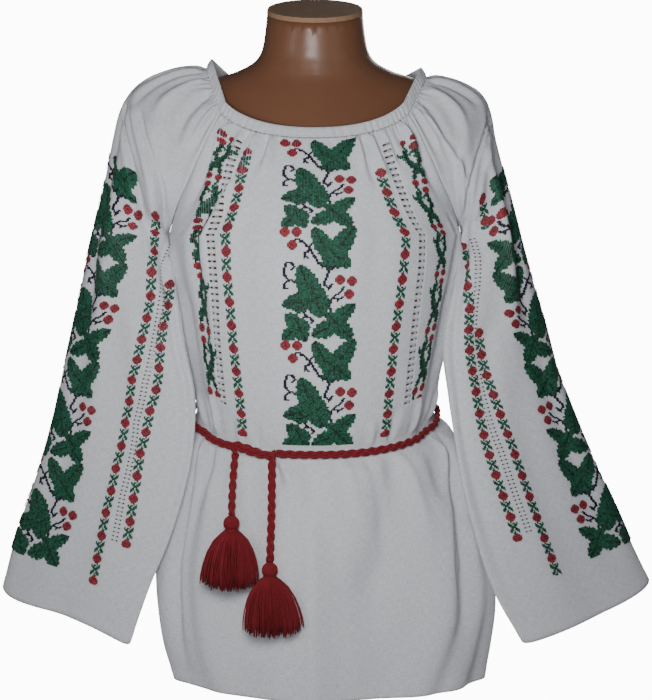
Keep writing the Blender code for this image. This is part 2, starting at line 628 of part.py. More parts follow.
def sleeve(side, name):
    """Closed wall of one sleeve: open along the raglan seams, a tube below the armpit."""
    along = np.concatenate([SEAM_STOPS[:-1], np.linspace(SEAM_END, SLEEVE_END, 11)])
    across = np.linspace(0, 1, SLEEVE_CELLS + 1)
    outer, out = sleeve_grid(side, along, across)
    open_rows = along < SEAM_END
    seam_in = inward(outer)
    share = np.zeros((len(along), len(across), 1))
    share[:, 0, 0] = np.clip((SEAM_END - along) / (SEAM_END / 2), 0, 1)
    share[:, -1, 0] = share[:, 0, 0]
    share[0] = 1.0
    inwards = unit(-out * (1 - share) + seam_in * share)
    tight = ~open_rows
    fold_line = outer[tight][:, :1]
    far_line = outer[tight][:, SLEEVE_CELLS // 2:SLEEVE_CELLS // 2 + 1]
    spine = fold_line + unit(far_line - fold_line) * FOLD_SPINE
    near = 1 - ease(np.linalg.norm(outer[tight] - fold_line, axis=-1) / (2.2 * FOLD_SPINE))
    near = (near * (1 - ease((along[tight] - SEAM_END) / 4))[:, None])[..., None]
    inwards[tight] = unit(inwards[tight] * (1 - near) + unit(spine - outer[tight]) * near)
    shift = SEAM_GAP / 2
    for edge in (0, -1):
        outer[open_rows, edge, 0] += side * shift
        outer[open_rows, edge, 2] += shift
    inner = outer + inwards * CLOTH
    joined = ~open_rows
    inner[joined, -1] = inner[joined, 0]
    return wall(name, outer, inner, int(np.argmax(joined)), LINEN)


# ---------------------------------------------------------------- neck band
def neckline(count):
    """Points round the neck edge: front, right sleeve, back, left sleeve."""
    end = ARMPIT_ROW + SEAM_END
    pieces = (
        body_surface("front", end, np.linspace(0, 1, count + 1)[:-1]),
        sleeve_surface(1.0, 0.0, np.linspace(0, 1, count + 1)[:-1]),
        body_surface("back", end, np.linspace(1, 0, count + 1)[:-1]),
        sleeve_surface(-1.0, 0.0, np.linspace(1, 0, count + 1)[:-1]),
    )
    return np.concatenate(pieces)


def ring_solid(name, loops, material):
    """A closed ring whose section's corners run along the given loops of points."""
    count = len(loops[0])
    points = np.concatenate(loops)
    faces = []
    for side in range(len(loops)):
        following = (side + 1) % len(loops)
        for place in range(count):
            ahead = (place + 1) % count
            faces.append([side * count + place, side * count + ahead,
                          following * count + ahead, following * count + place])
    return add_object(name, mesh_from(name, points, faces), material)


def neck_band():
    """The gathered neck edge is held in a narrow standing band."""
    edge = neckline(BAND_CELLS)
    flat_in = unit(-edge * np.array([1.0, 1.0, 0.0]))
    up = unit(flat_in * BAND_LEAN + np.array([0.0, 0.0, 1.0]))
    low = edge + up * SEAM_GAP * 1.5 - flat_in * BAND_OUTSET
    high = low + up * BAND_HEIGHT
    loops = (low, high, high + flat_in * BAND_WALL, low + flat_in * BAND_WALL)
    return ring_solid("neck_band", loops, LINEN)


# ---------------------------------------------------------------- belt, knot, ends and tassels
def waist_line(share):
    """Middle line of the belt; share runs once round from the left side over the front."""
    share = np.asarray(share, float) % 1.0
    front = share < 0.5
    across = np.where(front, 2 * share, 2 - 2 * share)
    points = np.where(front[..., None],
                      body_surface("front", float(WAIST_ROW), across),
                      body_surface("back", float(WAIST_ROW), across))
    away = -inward(points)
    away[..., 2] = 0
    return points + unit(away) * (BELT_RADIUS + BELT_CLEARANCE)


def tube_points(path, radii, sides, squash=(1.0, 1.0)):
    """Rings of points round a path, in the plane across it."""
    path = np.asarray(path)
    ahead = unit(np.gradient(path, axis=0))
    away = unit(path * np.array([1.0, 1.0, 0.0]))
    away = unit(away - ahead * (away * ahead).sum(-1, keepdims=True))
    beside = np.cross(ahead, away)
    rings = []
    for number in range(sides):
        angle = 2 * math.pi * number / sides
        rings.append(path + radii[:, None] * (away * math.cos(angle) * squash[0]
                                              + beside * math.sin(angle) * squash[1]))
    return np.stack(rings, axis=1)


def tube_solid(name, path, radii, sides, material, squash=(1.0, 1.0)):
    """A closed tube along a path with flat ends."""
    grid = tube_points(path, np.asarray(radii), sides, squash)
    count = len(grid)
    faces = []
    for row in range(count - 1):
        for place in range(sides):
            following = (place + 1) % sides
            faces.append([row * sides + place, row * sides + following,
                          (row + 1) * sides + following, (row + 1) * sides + place])
    faces.append([place for place in range(sides)])
    faces.append([(count - 1) * sides + place for place in range(sides)])
    return add_object(name, mesh_from(name, grid.reshape(-1, 3), faces), material)


def knot_share(x):
    """Share of the waist line, on its front half, at the given x."""
    shares = np.linspace(0.01, 0.49, 400)
    return float(np.interp(x, waist_line(shares)[:, 0], shares))


def knot_line():
    """Middle line of the knot and its half heights."""
    start = knot_share(KNOT_X - KNOT_LENGTH / 2)
    end = knot_share(KNOT_X + KNOT_LENGTH / 2)
    line = waist_line(np.linspace(start, end, KNOT_STATIONS))
    away = unit(line * np.array([1.0, 1.0, 0.0]))
    line = line + away * (KNOT_DEPTH / 2 - BELT_RADIUS)
    swell = 0.72 + 0.28 * np.sin(np.linspace(0, math.pi, KNOT_STATIONS)) ** 0.5
    return line, swell * KNOT_HEIGHT / 2, start, end


def knot_underside(x):
    """Height of the lowest part of the knot above a cord hanging at x."""
    line, radii, start, end = knot_line()
    rings = tube_points(line, radii, KNOT_SIDES, (KNOT_DEPTH / KNOT_HEIGHT, 1.0))
    close = np.abs(rings[..., 0] - x) < 1.6 * BELT_RADIUS
    return rings[..., 2][close].min()


def belt():
    """The cord once round the waist, ending at both ends of the knot, and the knot."""
    line, radii, start, end = knot_line()
    loop = waist_line(np.linspace(end + KNOT_GAP, 1 + start - KNOT_GAP, LOOP_STATIONS))
    tube_solid("belt_loop", loop, np.full(LOOP_STATIONS, BELT_RADIUS), LOOP_SIDES, RED_CORD)
    tube_solid("belt_knot", line, radii, KNOT_SIDES, RED_CORD,
               squash=(KNOT_DEPTH / KNOT_HEIGHT, 1.0))


def skirt_depth(x, z):
    """Depth (y) of the skirt's outer face seen at x and z."""
    along = np.linspace(0, WAIST_ROW, 120)
    across = np.linspace(0.02, 0.98, 160)
    grid = body_surface("front", along[:, None], across[None, :])
    return grid[..., 1].flat[np.argmin((grid[..., 0] - x) ** 2 + (grid[..., 2] - z) ** 2)]


def cord_curve(name, route, stand_off):
    """A hanging cord as a bevelled curve with filled ends."""
    xs = np.array([point[0] for point in route])
    zs = np.array([point[1] for point in route])
    zs[0] = knot_underside(xs[0]) - 2 * SEAM_GAP
    count = max(int((zs[0] - zs[-1]) / (BELT_RADIUS * 5)) + 1, 4)
    fine = np.linspace(0, len(route) - 1, count)
    line = [np.array([x, skirt_depth(x, z) - stand_off, z])
            for x, z in zip(smooth(xs, fine), smooth(zs, fine))]
    curve = bpy.data.curves.new(name, "CURVE")
    curve.dimensions = "3D"
    curve.bevel_depth = BELT_RADIUS
    curve.bevel_resolution = 2
    curve.use_fill_caps = True
    spline = curve.splines.new("POLY")
    spline.points.add(len(line) - 1)
    for point, place in zip(spline.points, line):
        point.co = (*place, 1.0)
    obj = bpy.data.objects.new(name, curve)
    bpy.context.scene.collection.objects.link(obj)
    curve.materials.append(bpy.data.materials["red_cord"])
    return line[-1]


def lie_at(place, wide, thick):
    """Depth at which strands spread this wide and thick lie on the skirt."""
    nearest = min(skirt_depth(place[0] + share * wide, place[2]) for share in (-0.8, 0.0, 0.8))
    return nearest - thick - STRAND_RADIUS - CORD_CLEARANCE


def tassel(name, top, drift):
    """A tassel: a round head whose strands are fused into it and spread below."""
    head_centre = top - np.array([0.0, 0.0, TASSEL_HEAD_RADIUS * 0.93])
    shape = bmesh.new()
    bmesh.ops.create_uvsphere(shape, u_segments=12, v_segments=8, radius=TASSEL_HEAD_RADIUS)
    for vertex in shape.verts:
        vertex.co.z *= 0.98
        vertex.co = vertex.co + type(vertex.co)(head_centre)
    mesh = bpy.data.meshes.new(name)
    shape.to_mesh(mesh)
    shape.free()
    head = add_object(name, mesh, RED_CORD)

    golden = math.pi * (3 - math.sqrt(5))
    points, faces = [], []
    for number in range(STRAND_COUNT):
        out = math.sqrt((number + 0.5) / STRAND_COUNT)
        turn = number * golden
        cross, deep = out * math.cos(turn), out * math.sin(turn)
        uneven = 0.5 + 0.5 * math.sin(number * 2.4)
        stations = (
            (0.74 * TASSEL_HEAD_RADIUS, 0.68 * TASSEL_HEAD_RADIUS, 0.2 * TASSEL_HEAD_RADIUS),
            (0.55 * TASSEL_SPREAD[0], 0.65 * TASSEL_SPREAD[1], 0.42 * TASSEL_LENGTH),
            (TASSEL_SPREAD[0], TASSEL_SPREAD[1], TASSEL_LENGTH * (0.93 + 0.07 * uneven)),
        )
        first = len(points)
        for level, (wide, thick, down) in enumerate(stations):
            place = head_centre + np.array([drift * down / TASSEL_LENGTH, 0.0, -down])
            place[1] = lie_at(place, wide, thick) if level else head_centre[1]
            centre = place + np.array([wide * cross, thick * deep, 0.0])
            for corner in range(3):
                angle = turn + corner * 2 * math.pi / 3
                points.append(centre + STRAND_RADIUS * (1.15 - 0.15 * level)
                              * np.array([math.cos(angle), math.sin(angle), 0.0]))
        for level in range(2):
            for corner in range(3):
                following = (corner + 1) % 3
                faces.append([first + level * 3 + corner, first + level * 3 + following,
                              first + level * 3 + 3 + following, first + level * 3 + 3 + corner])
        faces.append([first, first + 1, first + 2])
        faces.append([first + 6, first + 7, first + 8])
    strands = bpy.data.objects.new(name + "_strands", mesh_from(name + "_strands", points, faces))
    bpy.context.scene.collection.objects.link(strands)
    strands.hide_render = True
    strands.display_type = "WIRE"
    join = head.modifiers.new("strands", "BOOLEAN")
    join.operation = "UNION"
    join.solver = "EXACT"
    join.object = strands


def belt_ends():
    """Two hanging ends of the belt, each with its tassel."""
    stand_off = BELT_RADIUS + CORD_CLEARANCE
    for name, route, tassel_name, drift in (
            ("belt_tail_left", TAIL_LEFT, "tassel_left", TASSEL_DRIFT_LEFT),
            ("belt_tail_right", TAIL_RIGHT, "tassel_right", TASSEL_DRIFT_RIGHT)):
        end = cord_curve(name, route, stand_off)
        push = TASSEL_HEAD_RADIUS - BELT_RADIUS
        tassel(tassel_name, end + np.array([0.0, -push, 0.0]), drift)


# ---------------------------------------------------------------- dress form and stand
def form_ring(values):
    """Points round the dress form at one row of its table."""
    row = dict(zip(FORM_COLUMNS, values))
    angle = np.linspace(0, 2 * math.pi, FORM_SIDES + 1)[:-1]
    power = 2 / row["roundness"]
    bend = np.sign(np.cos(angle)) * np.abs(np.cos(angle)) ** power
    swell = np.sign(np.sin(angle)) * np.abs(np.sin(angle)) ** power
    depth = np.where(swell < 0, row["front"], row["back"])
    return np.stack([row["half_width"] * bend, row["middle"] + depth * swell,
                     np.full(len(angle), row["height"])], -1)


def dress_form():
    """Smooth solid torso with sloping shoulders and a neck, and the slanted cap on the neck."""
    rings = [form_ring(row) for row in FORM_ROWS]
    slope = math.tan(CAP_TILT)
    top = rings[-1]
    top[:, 2] += top[:, 1] * slope
    second = rings[-2]
    second[:, 2] += second[:, 1] * slope * 0.5
    points = np.concatenate(rings)
    faces = []
    for row in range(len(rings) - 1):
        for place in range(FORM_SIDES):
            following = (place + 1) % FORM_SIDES
            faces.append([row * FORM_SIDES + place, row * FORM_SIDES + following,
                          (row + 1) * FORM_SIDES + following, (row + 1) * FORM_SIDES + place])
    faces.append(list(range(FORM_SIDES)))
    faces.append([len(points) - FORM_SIDES + place for place in range(FORM_SIDES)])
    add_object("form_torso", mesh_from("form_torso", points, faces), TAN_PLASTIC)

    lift = np.array([0.0, -math.sin(CAP_TILT), math.cos(CAP_TILT)])
    middle = top.mean(axis=0)
    low = top + lift * SEAM_GAP
    high = middle + (top - middle) * CAP_TAPER + lift * (SEAM_GAP + CAP_THICKNESS)
    cap_faces = [[place, (place + 1) % FORM_SIDES, FORM_SIDES + (place + 1) % FORM_SIDES,
                  FORM_SIDES + place] for place in range(FORM_SIDES)]
    cap_faces.append(list(range(FORM_SIDES)))
    cap_faces.append([FORM_SIDES + place for place in range(FORM_SIDES)])
    add_object("form_cap", mesh_from("form_cap", np.concatenate([low, high]), cap_faces),
               CAP_PLASTIC)


def disc(name, radius, low, high, sides, rounding, material):
    """An upright round solid with its top edge rounded off."""
    shape = bmesh.new()
    bmesh.ops.create_cone(shape, cap_ends=True, segments=sides, radius1=radius, radius2=radius,
                          depth=high - low)
    for vertex in shape.verts:
        vertex.co.z += (low + high) / 2
    if rounding:
        rim = [edge for edge in shape.edges
               if all(vertex.co.z > high - 1e-6 for vertex in edge.verts)]
        bmesh.ops.bevel(shape, geom=rim, offset=rounding, segments=2, affect="EDGES")
    mesh = bpy.data.meshes.new(name)
    shape.to_mesh(mesh)
    shape.free()
    add_object(name, mesh, material)


def stand():
    """Round foot and a straight pole that carries the dress form."""
    disc("stand_base", BASE_RADIUS, 0.0, BASE_THICKNESS, 40, 0.005, STAND_METAL)
    disc("stand_pole", POLE_RADIUS, BASE_THICKNESS + SEAM_GAP, FORM_BOTTOM - SEAM_GAP, 20, 0.0,
         STAND_METAL)


def build():
    """Clear the scene and make every sub-part."""
    for obj in list(bpy.data.objects):
        bpy.data.objects.remove(obj, do_unlink=True)
    body_panel("front")
    body_panel("back")
    sleeve(-1.0, "sleeve_left")
    sleeve(1.0, "sleeve_right")
    neck_band()
    belt()
    belt_ends()
    dress_form()
    stand()


build()
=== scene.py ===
"""A white folk shirt, cross-stitched and belted with a tasselled cord, on a glossy dress form.

Metres, +Z up, the front faces -Y. The sections follow the order in which the piece is put
together: stand and dress form, body panels, sleeves, neck band, embroidery, belt and tassels.
"""

import math

import bmesh
import bpy
import numpy as np
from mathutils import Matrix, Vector


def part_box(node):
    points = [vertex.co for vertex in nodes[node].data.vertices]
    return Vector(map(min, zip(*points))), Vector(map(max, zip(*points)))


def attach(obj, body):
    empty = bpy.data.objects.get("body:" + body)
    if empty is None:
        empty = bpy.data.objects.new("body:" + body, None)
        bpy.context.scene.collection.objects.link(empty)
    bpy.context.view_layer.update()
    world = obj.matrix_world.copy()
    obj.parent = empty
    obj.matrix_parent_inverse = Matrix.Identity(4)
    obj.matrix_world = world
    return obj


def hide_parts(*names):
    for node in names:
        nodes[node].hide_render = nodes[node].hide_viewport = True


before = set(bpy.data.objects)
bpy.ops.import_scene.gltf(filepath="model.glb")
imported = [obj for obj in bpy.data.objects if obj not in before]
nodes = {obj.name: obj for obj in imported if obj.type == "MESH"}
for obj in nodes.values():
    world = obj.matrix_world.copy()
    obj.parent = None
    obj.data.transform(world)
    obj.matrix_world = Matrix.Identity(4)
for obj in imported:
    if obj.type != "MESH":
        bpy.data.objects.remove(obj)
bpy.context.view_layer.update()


# ------------------------------------------------------------------ objects and materials
def link_object(name, mesh):
    """An object at the origin that shows a mesh."""
    obj = bpy.data.objects.new(name, mesh)
    bpy.context.scene.collection.objects.link(obj)
    return obj


def feed(tree, node, inputs):
    """Set a node's inputs, each to a plain value or to another node's output."""
    for name, value in inputs.items():
        if isinstance(value, bpy.types.NodeSocket):
            tree.links.new(value, node.inputs[name])
        else:
            node.inputs[name].default_value = value


def add_node(tree, kind, inputs=None):
    """A new node of one kind with its inputs set."""
    node = tree.nodes.new("ShaderNode" + kind)
    feed(tree, node, inputs or {})
    return node


def new_material(name, inputs):
    """A node material, its node tree and its shader with some inputs set."""
    material = bpy.data.materials.new(name)
    material.use_nodes = True
    shader = material.node_tree.nodes["Principled BSDF"]
    feed(material.node_tree, shader, inputs)
    return material, material.node_tree, shader


def maths(tree, operation, *values):
    """Output of one operation on numbers and other outputs."""
    node = add_node(tree, "Math")
    node.operation = operation
    feed(tree, node, dict(enumerate(values)))
    return node.outputs["Value"]


def noise(tree, scale, detail, vector=None, distortion=0.0):
    """Output of a noise texture, in the object's own space unless a vector is given."""
    vector = add_node(tree, "TexCoord").outputs["Object"] if vector is None else vector
    return add_node(tree, "TexNoise", {"Scale": scale, "Detail": detail, "Vector": vector,
                                       "Distortion": distortion}).outputs["Fac"]


def stretched(tree, vector, scale, turn=0.0):
    """Coordinates turned about Z and scaled."""
    return add_node(tree, "Mapping", {"Vector": vector, "Scale": scale,
                                      "Rotation": (0.0, 0.0, turn)}).outputs["Vector"]


def flat_pattern(tree, layer):
    """Coordinates on the flat pattern of the cloth or the yarn."""
    pattern = add_node(tree, "UVMap")
    pattern.uv_map = layer
    return pattern.outputs["UV"]


def blend(tree, share, first, second):
    """Output that runs from one colour to another with a share."""
    mix = add_node(tree, "Mix")
    mix.data_type = "RGBA"
    feed(tree, mix, {"Factor": share, "A": (*first, 1.0), "B": (*second, 1.0)})
    return mix.outputs["Result"]


def ranged(tree, value, low, high, low_out=0.0, high_out=1.0):
    """Output with a value's range mapped onto another."""
    return add_node(tree, "MapRange", {"Value": value, "From Min": low, "From Max": high,
                                       "To Min": low_out, "To Max": high_out}).outputs["Result"]


def bump(tree, height, strength, distance):
    """Normal of a surface raised by a height."""
    return add_node(tree, "Bump", {"Height": height, "Strength": strength,
                                   "Distance": distance}).outputs["Normal"]


# ------------------------------------------------------------------ studio
# A pale seamless floor that curves up behind the stand, five soft lamps, and a long lens at
# the height of the chest. None of it belongs to the object.
CAMERA_PLACE = (0.012, -2.2, 0.72)
CAMERA_PITCH = 5.6            # degrees below level
CAMERA_LENS = 102.86          # mm on a 36 mm frame
FLOOR_HALF_WIDTH = 7.0
FLOOR_FRONT = -5.0
FLOOR_BEND_START = 3.0
FLOOR_BEND_RADIUS = 2.0
FLOOR_TOP = 6.0
FLOOR_BEND_STEPS = 24
FLOOR_WHITE = (0.62, 0.62, 0.62, 1.0)
FLOOR_GLOW = 12.0             # the sheet is lit separately, as in a high-key studio
# Each lamp: its name, place, the point it faces, width, height and power
LAMPS = (
    ("key_lamp", (-0.10, -0.92, 0.70), (0.0, 0.0, 0.68), 0.24, 0.28, 5.4),
    ("side_lamp", (-1.45, -1.35, 0.75), (0.0, 0.0, 0.35), 0.42, 0.42, 3.0),
    ("strip_lamp", (0.12, -2.1, 1.10), (0.0, 0.0, 0.75), 0.13, 1.1, 4.0),
    ("fill_lamp", (1.9, -2.0, 1.1), (0.0, 0.0, 0.5), 1.2, 1.2, 3.0),
    ("back_lamp", (0.7, 2.6, 1.3), (0.0, 0.0, 0.5), 1.4, 1.4, 26),
)
ROOM_TINT = (0.93, 0.96, 1.0, 1.0)
ROOM_LIGHT = 0.10


def seamless_floor():
    """One sheet of studio floor: flat, then a quarter turn up into the back wall."""
    profile = [(FLOOR_FRONT, 0.0), (FLOOR_BEND_START, 0.0)]
    for step in range(1, FLOOR_BEND_STEPS + 1):
        angle = step / FLOOR_BEND_STEPS * math.pi / 2
        profile.append((FLOOR_BEND_START + FLOOR_BEND_RADIUS * math.sin(angle),
                        FLOOR_BEND_RADIUS * (1 - math.cos(angle))))
    profile.append((FLOOR_BEND_START + FLOOR_BEND_RADIUS, FLOOR_TOP))
    points = [(side * FLOOR_HALF_WIDTH, y, z) for y, z in profile for side in (-1, 1)]
    faces = [(2 * row, 2 * row + 1, 2 * row + 3, 2 * row + 2) for row in range(len(profile) - 1)]
    mesh = bpy.data.meshes.new("studio_floor")
    mesh.from_pydata(points, [], faces)
    mesh.shade_smooth()
    floor = link_object("studio_floor", mesh)
    paper, tree, shader = new_material("floor_paper", {
        "Base Color": FLOOR_WHITE, "Roughness": 0.9, "Specular IOR Level": 0.1,
        "Emission Color": (1.0, 1.0, 1.0, 1.0)})
    seen = add_node(tree, "LightPath").outputs["Is Camera Ray"]
    feed(tree, shader, {"Emission Strength": maths(tree, "MULTIPLY", seen, FLOOR_GLOW)})
    mesh.materials.append(paper)


def soft_lamp(name, place, aim, wide, tall, power):
    """A flat lamp that faces a point."""
    lamp = bpy.data.lights.new(name, "AREA")
    lamp.shape = "RECTANGLE"
    lamp.size = wide
    lamp.size_y = tall
    lamp.energy = power
    holder = bpy.data.objects.new(name, lamp)
    holder.location = place
    holder.rotation_euler = (Vector(aim) - Vector(place)).to_track_quat("-Z", "Y").to_euler()
    bpy.context.scene.collection.objects.link(holder)


seamless_floor()
for lamp in LAMPS:
    soft_lamp(*lamp)
world = bpy.data.worlds.new("studio_light")
world.use_nodes = True
feed(world.node_tree, world.node_tree.nodes["Background"],
     {"Color": ROOM_TINT, "Strength": ROOM_LIGHT})
bpy.context.scene.world = world

camera_data = bpy.data.cameras.new("camera")
camera_data.lens = CAMERA_LENS
camera_data.sensor_width = 36.0
camera = bpy.data.objects.new("camera", camera_data)
camera.location = CAMERA_PLACE
camera.rotation_euler = (math.radians(90 - CAMERA_PITCH), 0.0, 0.0)
bpy.context.scene.collection.objects.link(camera)
bpy.context.scene.camera = camera


# ------------------------------------------------------------------ dress form and stand
# A moulded torso of tan plastic without head or arms, polished on the outside, with a dull
# flat plate let into the top of its neck. A satin steel pole and a round foot carry it.
FORM_TAN = (0.185, 0.080, 0.042)
CAP_TAN = (0.330, 0.200, 0.120)
STEEL_GREY = (0.55, 0.56, 0.58)
MERGE_DISTANCE = 0.00005      # corners of a moulded solid closer than this are one
FLAT_ANGLE = 0.4              # degrees; faces that meet flatter than this become one
ROUNDING = 2                  # times each face is divided
BASE_MARGIN = 0.001           # edges this near the flat underside stay sharp
NECK_RIM = 0.85               # edges above this height, at the top of the neck, stay sharp


def moulded_plastic(name, colour, roughness, coat):
    """Moulded plastic: faint cloudiness, fine scuffs and a slightly uneven polish."""
    material, tree, shader = new_material(name, {
        "Specular IOR Level": 0.06 + 0.9 * coat, "Coat Weight": coat, "Coat Roughness": 0.24})
    scuff = noise(tree, 140.0, 6.0)
    darker = tuple(part * 0.90 for part in colour)
    lighter = tuple(part * 1.08 for part in colour)
    feed(tree, shader, {
        "Base Color": blend(tree, noise(tree, 9.0, 3.0), darker, lighter),
        "Roughness": ranged(tree, scuff, 0.3, 0.75, roughness, roughness + 0.14),
        "Normal": bump(tree, scuff, 0.05, 0.0004)})
    return material


def satin_steel(name):
    """Turned steel: fine rings round its axis and a few dull patches."""
    material, tree, shader = new_material(name, {"Metallic": 1.0})
    place = add_node(tree, "TexCoord").outputs["Object"]
    grain = noise(tree, 4.0, 5.0, stretched(tree, place, (2.0, 2.0, 260.0)))
    feed(tree, shader, {
        "Base Color": blend(tree, grain, tuple(part * 0.82 for part in STEEL_GREY), STEEL_GREY),
        "Roughness": ranged(tree, grain, 0.25, 0.75, 0.24, 0.42),
        "Normal": bump(tree, grain, 0.04, 0.0003)})
    return material


def smooth_copy(node, name, material):
    """A rounder copy of a moulded solid: its corners merged, then subdivided."""
    mesh = nodes[node].data.copy()
    mesh.name = name
    shape = bmesh.new()
    shape.from_mesh(mesh)
    bmesh.ops.remove_doubles(shape, verts=shape.verts, dist=MERGE_DISTANCE)
    bmesh.ops.dissolve_limit(shape, angle_limit=math.radians(FLAT_ANGLE), verts=shape.verts,
                             edges=shape.edges)
    shape.to_mesh(mesh)
    shape.free()
    mesh.shade_smooth()
    mesh.materials.clear()
    mesh.materials.append(material)
    piece = link_object(name, mesh)
    rounding = piece.modifiers.new("rounding", "SUBSURF")
    rounding.levels = rounding.render_levels = ROUNDING
    return piece


tan_plastic = moulded_plastic("tan_plastic", FORM_TAN, 0.36, 0.30)
dull_plastic = moulded_plastic("dull_plastic", CAP_TAN, 0.5, 0.0)
steel = satin_steel("satin_steel")

torso = smooth_copy("form_torso", "dress_form_torso", tan_plastic)
sharpness = torso.data.attributes.new("crease_edge", "FLOAT", "EDGE")
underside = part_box("form_torso")[0][2] + BASE_MARGIN
for edge, sharp in zip(torso.data.edges, sharpness.data):
    heights = [torso.data.vertices[index].co.z for index in edge.vertices]
    sharp.value = 1.0 if max(heights) < underside or min(heights) > NECK_RIM else 0.0
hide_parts("form_torso")
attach(torso, "root")

for node, material in (("form_cap", dull_plastic), ("stand_pole", steel), ("stand_base", steel)):
    nodes[node].data.materials.clear()
    nodes[node].data.materials.append(material)
    nodes[node].data.shade_smooth()


# ------------------------------------------------------------------ front and back panels
# Plain-woven white cloth: a front and a back cut straight, gathered into the neck band above
# and drawn in by the belt. Two ladders of drawn threads run down the front from band to belt.

CLOTH = 0.0016            # wall of every cloth panel
AIM_HEIGHT = 0.655        # the inward direction of every wall aims at this height or lower
LEVEL = np.array([1.0, 1.0, 0.0])     # times a direction, keeps what is level in it
UP = np.array([0.0, 0.0, 1.0])

# Body, from the hem up to the armpit. left and right are the side seams, front and back the
# depths of the middle of each panel; the belt pulls the middle of the waist down.
BODY_COLUMNS = ("side_height", "left", "right", "front_height", "front", "back_height", "back")
BODY_ROWS = (
    (0.152, -0.1600, 0.1915, 0.1415, -0.124, 0.150, 0.114),
    (0.189, -0.1715, 0.1985, 0.185, -0.123, 0.189, 0.116),
    (0.229, -0.1755, 0.2010, 0.226, -0.120, 0.229, 0.114),
    (0.279, -0.1740, 0.1940, 0.270, -0.115, 0.279, 0.110),
    (0.325, -0.1640, 0.1830, 0.311, -0.110, 0.326, 0.105),
    (0.369, -0.1530, 0.1700, 0.346, -0.105, 0.372, 0.100),
    (0.413, -0.1420, 0.1530, 0.382, -0.100, 0.418, 0.094),
    (0.437, -0.1315, 0.1300, 0.402, -0.092, 0.443, 0.085),
    (0.460, -0.1330, 0.1345, 0.426, -0.098, 0.468, 0.090),
    (0.487, -0.1380, 0.1390, 0.456, -0.105, 0.494, 0.093),
    (0.531, -0.1460, 0.1470, 0.510, -0.114, 0.535, 0.094),
    (0.572, -0.1520, 0.1530, 0.560, -0.120, 0.575, 0.095),
    (0.605, -0.1585, 0.1585, 0.602, -0.122, 0.607, 0.096),
    (0.632, -0.1600, 0.1600, 0.636, -0.120, 0.636, 0.096),
)
ARMPIT_ROW = len(BODY_ROWS) - 1

# Raglan seams of one side, from the neck down to the armpit
SEAM_COLUMNS = ("front_x", "front_y", "front_z", "back_x", "back_y", "back_z")
SEAM_ROWS = (
    (0.100, -0.060, 0.764, 0.094, 0.056, 0.790),
    (0.109, -0.066, 0.748, 0.103, 0.067, 0.776),
    (0.117, -0.070, 0.731, 0.113, 0.075, 0.757),
    (0.126, -0.070, 0.712, 0.125, 0.080, 0.735),
    (0.134, -0.066, 0.694, 0.137, 0.080, 0.710),
    (0.143, -0.056, 0.675, 0.148, 0.071, 0.685),
    (0.152, -0.036, 0.653, 0.156, 0.048, 0.657),
    (0.160, 0.000, 0.632, 0.160, 0.000, 0.632),
)
SEAM_END = len(SEAM_ROWS) - 1

# Middle of the front and of the back above the armpit. rise counts rows of the raglan seam up
# from the armpit, trim is the angle cut off each end of the row's half ellipse.
UPPER_COLUMNS = ("rise", "front_height", "front", "back_height", "back", "trim")
UPPER_ROWS = (
    (0.0, 0.636, -0.120, 0.636, 0.096, 0.0),
    (1.4, 0.662, -0.114, 0.675, 0.099, 12.0),
    (3.0, 0.688, -0.106, 0.714, 0.098, 19.0),
    (5.0, 0.714, -0.096, 0.752, 0.091, 24.0),
    (7.0, 0.737, -0.085, 0.782, 0.078, 26.0),
)
ROUNDNESS = 2.25          # exponent of the body's rounded oval

# Gathers under the neck band: waves across each piece, their depth and how far down
# they fade
GATHERS = {
    "front": (10, 0.0020, 0.075),
    "back": (7, 0.0022, 0.080),
    "sleeve": (8, 0.0026, 0.110),
}
GATHER_RISE = 0.012       # the gathers reach their full depth this far below the band
FRONT_FLAT = 0.21         # half of the share of the front that the stiff middle band keeps flat
FRONT_FLAT_EDGE = 0.04

# Soft folds of each piece: the row number where one starts and where it ends, its share
# across at both, its height (+) or depth (-) and half width
FOLDS = {
    "front": (
        (7.0, 0.0, 0.10, 0.13, 0.0070, 0.035), (7.0, 0.0, 0.19, 0.24, -0.0050, 0.040),
        (6.8, 0.0, 0.80, 0.79, -0.0060, 0.035), (6.8, 0.0, 0.90, 0.88, 0.0070, 0.035),
        (6.9, 2.0, 0.35, 0.38, -0.0025, 0.030), (6.9, 2.0, 0.66, 0.66, -0.0025, 0.030),
        (11.5, 7.2, 0.13, 0.16, -0.0040, 0.035), (11.5, 7.2, 0.88, 0.85, -0.0040, 0.035),
    ),
    "back": (
        (6.9, 0.0, 0.16, 0.12, 0.0070, 0.040), (6.9, 0.0, 0.34, 0.32, -0.0060, 0.045),
        (6.9, 0.0, 0.52, 0.52, 0.0060, 0.045), (6.9, 0.0, 0.70, 0.72, -0.0065, 0.045),
        (6.9, 0.0, 0.86, 0.89, 0.0070, 0.040), (11.8, 7.2, 0.22, 0.26, -0.0040, 0.040),
        (11.8, 7.2, 0.76, 0.73, -0.0045, 0.040),
    ),
    "sleeve_left": (
        (3.0, 9.0, 0.40, 0.36, -0.0050, 0.030), (2.5, 8.0, 0.24, 0.13, 0.0050, 0.040),
        (8.0, 16.0, 0.20, 0.26, -0.0030, 0.040), (9.0, 16.0, 0.72, 0.68, 0.0050, 0.045),
        (3.0, 10.0, 0.64, 0.70, -0.0050, 0.040),
    ),
    "sleeve_right": (
        (3.0, 9.0, 0.40, 0.34, -0.0050, 0.030), (2.5, 8.0, 0.22, 0.12, 0.0055, 0.040),
        (9.0, 16.0, 0.22, 0.28, -0.0030, 0.040), (9.0, 16.0, 0.74, 0.70, 0.0050, 0.045),
        (3.5, 10.0, 0.62, 0.70, -0.0050, 0.040),
    ),
}
FOLD_RISE = 5             # how fast a fold starts, per share of its length
FOLD_END = 1.25           # share of its length at which it is gone, and how fast it fades
FOLD_FALL = 4

